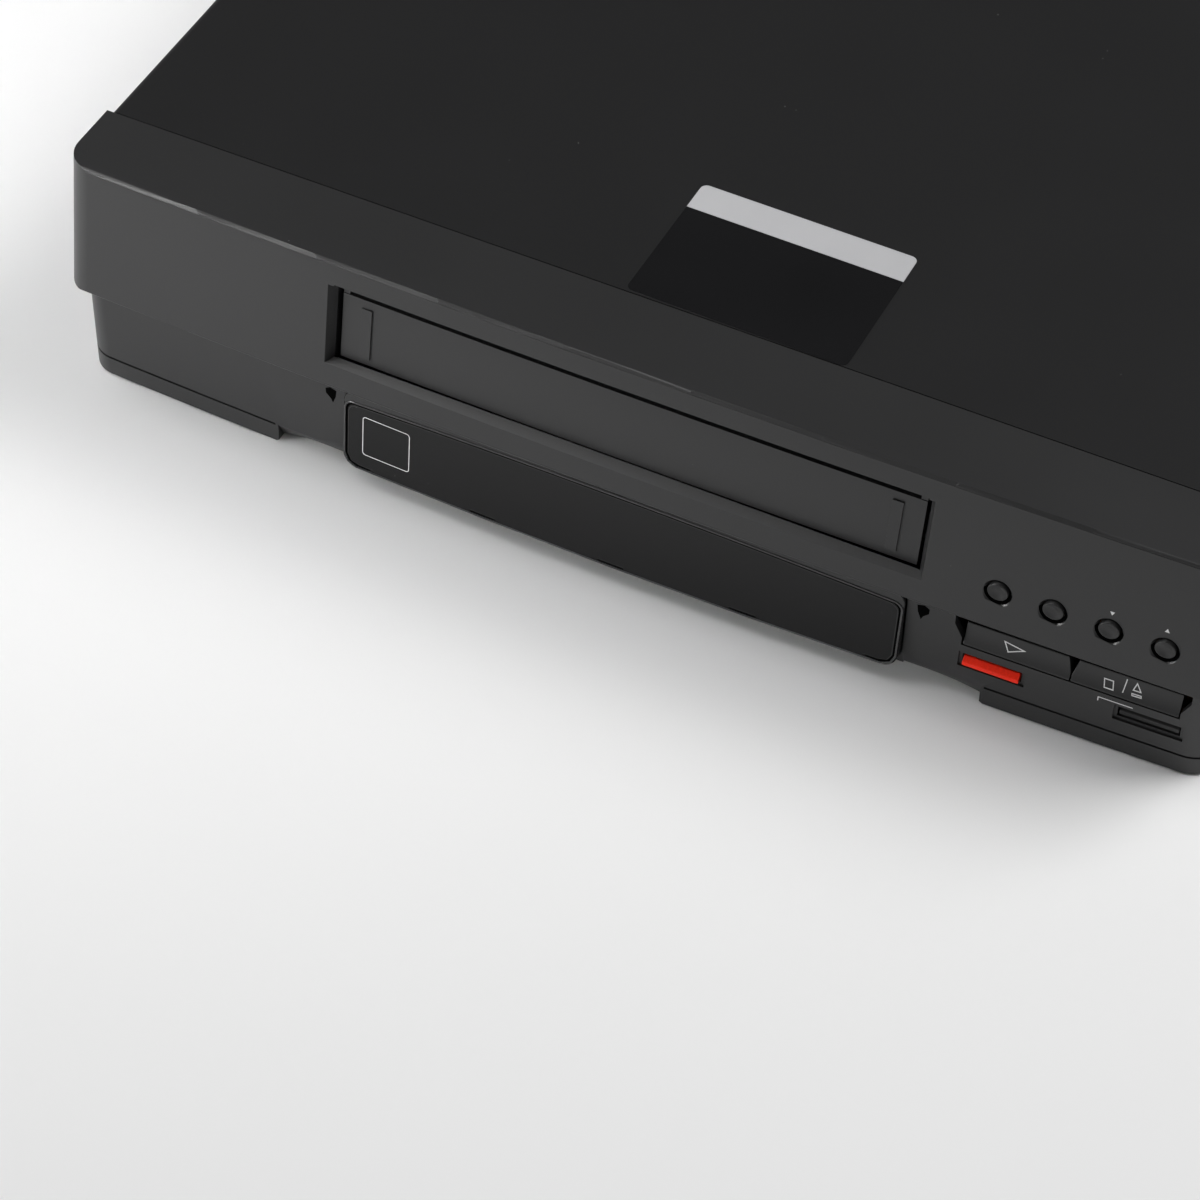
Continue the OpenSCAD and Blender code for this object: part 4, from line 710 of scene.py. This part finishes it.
def round_off(piece, thickness):
    """Gives a laid strip its thickness, towards what it lies on, and rounds its edges."""
    thick = piece.modifiers.new("thickness", "SOLIDIFY")
    thick.thickness = thickness
    thick.offset = -1.0
    bevel = piece.modifiers.new("rounding", "BEVEL")
    bevel.limit_method = "ANGLE"
    bevel.angle_limit = math.radians(50)
    bevel.width = thickness * 0.4
    bevel.segments = 2
    apply_modifiers(piece)
    select_only(piece)
    bpy.ops.object.shade_smooth_by_angle(angle=math.radians(50))


def window_loop(inset):
    """(x, z) points just inside the window's rim; its top edge rises to the middle."""
    half = WINDOW_HALF_WIDTH - inset
    points = []
    for step in range(WINDOW_STEPS + 1):
        x = (half - WINDOW_ARCH_END) * (1 - 2 * step / WINDOW_STEPS)
        points.append((x, WINDOW_TOP - inset - WINDOW_FALL * (x / half) ** 2))
    end = points[-1][1]
    side = [(half - across, end - down) for across, down in WINDOW_HIGH_CORNER]
    side += [(half - across, z + share * inset) for across, z, share in WINDOW_LOW_CORNER]
    points += [(-x, z) for x, z in side]
    points += [(x, z) for x, z in reversed(side)]
    return points


def window_header():
    """(x, z) points round the strip of panel between the rim's arched top and the lens's top."""
    arch = window_loop(0)
    rim = [point for point in arch if point[1] > arch[WINDOW_STEPS][1] - WINDOW_CORNER_R / 2]
    rim.sort(key=lambda point: -point[0])
    top = LENS_HIGH.z / MM - WINDOW_EDGE
    half = LENS_HIGH.x / MM - WINDOW_EDGE
    lens = rounded_corners(-half, half, top - 4 * WINDOW_CORNER_R, top, WINDOW_CORNER_R)
    above = [point for point in lens if point[1] > rim[0][1]]
    above.sort(key=lambda point: point[0])
    return rim + above


# Operators, one for each group of pieces

class RECORDER_OT_finish_nodes(bpy.types.Operator):
    """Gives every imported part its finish"""
    bl_idname = "recorder.finish_nodes"
    bl_label = "Finish the packed parts"

    def execute(self, context):
        slots = [entry["slot"] for entry in frame["record"]["materials"]]
        packed = {}
        for material in list(bpy.data.materials):
            slot = material.name.split(".")[0]
            if slot in slots:
                material.name = "packed_" + material.name
                packed[material] = slot
        finishes = record_finishes()
        for node in frame["nodes"].values():
            for place in node.material_slots:
                if place.material in packed:
                    place.material = finishes[packed[place.material]]
        for material in packed:
            bpy.data.materials.remove(material)
        return {"FINISHED"}


class RECORDER_OT_dress_cabinet(bpy.types.Operator):
    """Softens the edges of the hood and the moulded front"""
    bl_idname = "recorder.dress_cabinet"
    bl_label = "Dress the cabinet"

    def execute(self, context):
        sizes = context.scene.recorder_sizes
        skin("top_cover", sizes.sheet_edge_break)
        skin("front_panel", sizes.edge_break)
        return {"FINISHED"}


class RECORDER_OT_dress_window(bpy.types.Operator):
    """Softens the rim of the smoked window"""
    bl_idname = "recorder.dress_window"
    bl_label = "Dress the window"

    def execute(self, context):
        skin("window_lens", context.scene.recorder_sizes.edge_break)
        return {"FINISHED"}


class RECORDER_OT_dress_door(bpy.types.Operator):
    """Softens the edges of the cassette door"""
    bl_idname = "recorder.dress_door"
    bl_label = "Dress the cassette door"

    def execute(self, context):
        skin("cassette_door", context.scene.recorder_sizes.edge_break)
        return {"FINISHED"}


class RECORDER_OT_dress_keys(bpy.types.Operator):
    """Softens the edges of the buttons and keys"""
    bl_idname = "recorder.dress_keys"
    bl_label = "Dress the keys"

    def execute(self, context):
        sizes = context.scene.recorder_sizes
        for node in ROUND_BUTTONS + KEYS:
            skin(node, sizes.edge_break)
        return {"FINISHED"}


class RECORDER_OT_fit_buttons(bpy.types.Operator):
    """Adds the dished caps of the round buttons and black rings of painted shade on the walls of their
    wells
    """
    bl_idname = "recorder.fit_buttons"
    bl_label = "Fit the round buttons"

    def execute(self, context):
        panel = bpy.data.objects["front_panel_skin"]
        # Black of painted shade for the rings in the wells
        dark = painted_shade_finish()
        cap = bpy.data.materials["button_plastic"]
        reach = BUTTON_WELL_R + LEAN_REACH
        for node in ROUND_BUTTONS:
            low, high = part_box(node)
            x = (low.x + high.x) / 2 / MM
            z = (low.z + high.z) / 2 / MM
            above = front_of(panel, x, z + reach)
            below = front_of(panel, x, z - reach)
            lean = -math.atan((above - below) / (2 * reach))
            place = (x, (above + below) / 2, z)
            turned(node + "_cap", CAP_OUTLINE, place, 0, cap, body_of_node(node))
            # A black ring of painted shade on the well's wall, where the gap round the cap lies in
            # shade
            turned(node + "_well", WELL_SHADE_OUTLINE, place, lean, dark, "cabinet")
        return {"FINISHED"}


class RECORDER_OT_trim_window(bpy.types.Operator):
    """Adds the raised rim, lightened as a painted highlight, a black strip of painted shade in the gap
    and a panel-coloured strip as the painted highlight of the lens's bevel round the smoked window
    """
    bl_idname = "recorder.trim_window"
    bl_label = "Trim the window"

    def execute(self, context):
        window = bpy.data.objects["window_lens_skin"]
        height = context.scene.recorder_sizes.ink_height
        plastic = bpy.data.materials["panel_plastic"]
        # The rim's colour is the panel's made 1.8 times lighter: a painted highlight along the rim's
        # edge
        colour = shade(context.scene.recorder_colours.panel, 1.8)
        rim = moulded("rim_plastic", colour, 0.3, depth=0.004, dust=0.0, shine=0.9).material
        header = flat_mark("header", window_header())
        lay_on([header], "window_header", window, 2 * height, plastic, "cabinet")
        # Name, inset and width in millimetres, material, and height off the window
        trims = (
            ("window_rim", 0.0, 0.6, rim, 0.4 * MM),
            # Black strip of painted shade in the gap between the rim and the lens
            ("window_gap", 0.6, 0.7, painted_shade_finish(), height),
            # Panel-coloured strip on the dark lens: painted highlight of the lens's bevelled edge
            ("window_bevel", 1.45, 0.2, plastic, height),
        )
        for name, inset, width, material, proud in trims:
            loop = outline(flat_mark(name, window_loop(inset)), width * MM)
            piece = lay_on([loop], name, window, proud, material, "cabinet")
            if proud > height:
                round_off(piece, proud)
        return {"FINISHED"}


class RECORDER_OT_print_marks(bpy.types.Operator):
    """Prints the plain signs for play, stop, eject and the channel arrows"""
    bl_idname = "recorder.print_marks"
    bl_label = "Print the signs"

    def execute(self, context):
        sizes = context.scene.recorder_sizes
        width = sizes.line_width
        height = sizes.ink_height
        ink = moulded("white_ink", context.scene.recorder_colours.ink, 0.6, dust=0.0).material
        panel = bpy.data.objects["front_panel_skin"]
        window = bpy.data.objects["window_lens_skin"]
        play_key = bpy.data.objects["play_key_skin"]
        stop_key = bpy.data.objects["stop_eject_key_skin"]
        play = [outline(flat_mark("sign", PLAY_TRIANGLE), width)]
        lay_on(play, "play_sign", play_key, height, ink, "play")
        stop = [
            outline(flat_mark("sign", STOP_SQUARE), width),
            stroke("sign", *SLASH, width),
            outline(flat_mark("sign", EJECT_TRIANGLE), width),
            outline(flat_mark("sign", EJECT_BAR), width),
        ]
        lay_on(stop, "stop_sign", stop_key, height, ink, "stop_eject")
        arrows = [flat_mark("sign", corners) for corners in CHANNEL_ARROWS]
        arrows += [stroke("sign", start, end, width) for start, end in BRACKET_LINES]
        lay_on(arrows, "channel_arrows", panel, height, ink, "cabinet")
        # Black patches of painted shade for the dark pockets under the step
        pocket_shades = [
            flat_mark("pocket", [(side * x, z) for x, z in STEP_POCKET_SHADE]) for side in (1, -1)
        ]
        lay_on(pocket_shades, "step_pockets", panel, height, painted_shade_finish(), "cabinet")
        corners = rounded_corners(*SENSOR_BOX, SENSOR_CORNER_R)
        rim = outline(flat_mark("sign", corners), width * SENSOR_LINE_SHARE)
        lay_on([rim], "sensor_outline", window, height, ink, "cabinet")
        return {"FINISHED"}


class RECORDER_OT_add_sticker(bpy.types.Operator):
    """Adds the bare two-tone sticker on the hood"""
    bl_idname = "recorder.add_sticker"
    bl_label = "Add the sticker"

    def execute(self, context):
        sizes = context.scene.recorder_sizes
        colours = context.scene.recorder_colours
        centre = Vector((STICKER_CENTRE[0] * MM, STICKER_CENTRE[1] * MM, HOOD_TOP))
        bpy.ops.object.select_all(action="DESELECT")
        bpy.ops.mesh.primitive_plane_add(size=1, location=centre)
        sticker = bpy.context.active_object
        sticker.name = "hood_sticker"
        sticker.data.name = "hood_sticker"
        sticker.scale = (sizes.sticker_width, sizes.sticker_depth, 1)
        sticker.rotation_euler = (0, 0, math.radians(-STICKER_TURN))
        bpy.ops.object.transform_apply(location=False, rotation=False, scale=True)
        bpy.ops.object.mode_set(mode="EDIT")
        bpy.ops.mesh.select_all(action="SELECT")
        bpy.ops.mesh.bevel(offset=STICKER_CORNER_R * MM, segments=6, affect="VERTICES")
        bpy.ops.object.mode_set(mode="OBJECT")
        settle(sticker)
        thick = sticker.modifiers.new("thickness", "SOLIDIFY")
        thick.thickness = STICKER_THICKNESS * MM
        thick.offset = 1.0
        apply_modifiers(sticker)
        band_y = centre.y + sizes.sticker_depth / 2 - sizes.sticker_band
        paint(sticker, sticker_finish(colours, centre.x, band_y).material)
        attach(sticker, "cabinet")
        return {"FINISHED"}


def sticker_finish(colours, centre_x, band_y):
    """Two-tone printed film: dark in front, pale behind the line at band_y."""
    finish = Finish("sticker_film", roughness=0.22)
    place = add_node(finish.tree, "ShaderNodeMapping", vector_type="POINT")
    place.inputs["Location"].default_value = (-centre_x, -band_y, 0.0)
    finish.link(finish.place, place.inputs["Vector"])
    turn = add_node(finish.tree, "ShaderNodeMapping", vector_type="POINT")
    turn.inputs["Rotation"].default_value = (0.0, 0.0, math.radians(STICKER_TURN))
    finish.link(place.outputs["Vector"], turn.inputs["Vector"])
    split = add_node(finish.tree, "ShaderNodeSeparateXYZ")
    finish.link(turn.outputs["Vector"], split.inputs["Vector"])
    pale = math_node(finish.tree, "GREATER_THAN", split.outputs["Y"], 0.0)
    grain_node = finish.group("grain", grain_group, Scale=900.0)
    patch = grain_node.outputs["Patch"]
    silver = finish.mix(
        patch, shade(colours.sticker_pale, 0.92), shade(colours.sticker_pale, 1.08)
    )
    dark = finish.mix(patch, shade(colours.sticker_dark, 0.8), shade(colours.sticker_dark, 1.3))
    finish.colour(finish.mix(pale, dark, silver))
    finish.rough(finish.span(patch, 0.18, 0.3))
    finish.shader_value(Specular_IOR_Level=0.2)
    return finish


class RECORDER_OT_set_stage(bpy.types.Operator):
    """Adds the floor, the soft lights and the camera"""
    bl_idname = "recorder.set_stage"
    bl_label = "Set the stage"

    def execute(self, context):
        scene = context.scene
        add_floor(scene.recorder_colours.floor)
        for light in LIGHTS:
            add_light(*light)
        world = bpy.data.worlds.new("studio")
        scene.world = world
        world.use_nodes = True
        back = world.node_tree.nodes["Background"]
        back.inputs["Color"].default_value = (1.0, 1.0, 1.0, 1.0)
        back.inputs["Strength"].default_value = WORLD_STRENGTH
        add_camera(scene)
        scene.view_settings.view_transform = "Standard"
        return {"FINISHED"}


def add_floor(colour):
    """A large pale floor under the recorder."""
    bpy.ops.object.select_all(action="DESELECT")
    bpy.ops.mesh.primitive_plane_add(size=FLOOR_SIZE, location=(0, 0, 0))
    floor = bpy.context.active_object
    floor.name = "floor"
    finish = Finish("floor_paper", roughness=0.9)
    grain_node = finish.group("grain", grain_group, Scale=120.0)
    finish.colour(finish.mix(grain_node.outputs["Patch"], shade(colour, 0.995), shade(colour, 1.005)))
    finish.shader_value(Specular_IOR_Level=0.0)
    paint(floor, finish.material)


def add_light(name, place, target, width, height, power, spread):
    """A rectangular soft light that faces its target."""
    data = bpy.data.lights.new(name, "AREA")
    data.shape = "RECTANGLE"
    data.size = width
    data.size_y = height
    data.energy = power
    data.spread = math.radians(spread)
    lamp = bpy.data.objects.new(name, data)
    bpy.context.scene.collection.objects.link(lamp)
    lamp.location = place
    lamp.rotation_euler = (Vector(target) - Vector(place)).to_track_quat("-Z", "Y").to_euler()


def add_camera(scene):
    """The photograph's viewpoint: turned right of the front, looking down, a long lens."""
    turn = math.radians(CAMERA_TURN)
    down = math.radians(CAMERA_DOWN)
    roll = math.radians(CAMERA_ROLL)
    back = Vector((math.sin(turn) * math.cos(down), -math.cos(turn) * math.cos(down), math.sin(down)))
    level = Vector((math.cos(turn), math.sin(turn), 0))
    upright = back.cross(level)
    right = level * math.cos(roll) + upright * math.sin(roll)
    top = upright * math.cos(roll) - level * math.sin(roll)
    data = bpy.data.cameras.new("photo_camera")
    data.sensor_width = CAMERA_SENSOR
    data.lens = CAMERA_LENS
    data.clip_end = 50.0
    camera = bpy.data.objects.new("photo_camera", data)
    scene.collection.objects.link(camera)
    place = Vector(CAMERA_PLACE) * MM
    camera.matrix_world = Matrix.Translation(place) @ Matrix((right, top, back)).transposed().to_4x4()
    scene.camera = camera


class RECORDER_PT_panel(bpy.types.Panel):
    """Lists the steps that dress the recorder"""
    bl_label = "Recorder"
    bl_idname = "RECORDER_PT_panel"
    bl_space_type = "VIEW_3D"
    bl_region_type = "UI"
    bl_category = "Recorder"

    def draw(self, context):
        layout = self.layout
        for step in STEPS:
            layout.operator(step.bl_idname)
        for group in (context.scene.recorder_sizes, context.scene.recorder_colours):
            for name in group.bl_rna.properties.keys():
                if name not in ("rna_type", "name"):
                    layout.prop(group, name)


STEPS = (
    RECORDER_OT_finish_nodes,
    RECORDER_OT_dress_cabinet,
    RECORDER_OT_dress_window,
    RECORDER_OT_dress_door,
    RECORDER_OT_dress_keys,
    RECORDER_OT_fit_buttons,
    RECORDER_OT_trim_window,
    RECORDER_OT_print_marks,
    RECORDER_OT_add_sticker,
    RECORDER_OT_set_stage,
)
CLASSES = (RecorderSizes, RecorderColours, *STEPS, RECORDER_PT_panel)


def register():
    for item in CLASSES:
        bpy.utils.register_class(item)
    bpy.types.Scene.recorder_sizes = bpy.props.PointerProperty(type=RecorderSizes)
    bpy.types.Scene.recorder_colours = bpy.props.PointerProperty(type=RecorderColours)


def unregister():
    del bpy.types.Scene.recorder_colours
    del bpy.types.Scene.recorder_sizes
    for item in reversed(CLASSES):
        bpy.utils.unregister_class(item)


def main():
    register()
    bpy.ops.recorder.finish_nodes()
    bpy.ops.recorder.dress_cabinet()
    bpy.ops.recorder.dress_window()
    bpy.ops.recorder.dress_door()
    bpy.ops.recorder.dress_keys()
    bpy.ops.recorder.fit_buttons()
    bpy.ops.recorder.trim_window()
    bpy.ops.recorder.print_marks()
    bpy.ops.recorder.add_sticker()
    bpy.ops.recorder.set_stage()


if __name__ == "__main__":
    main()
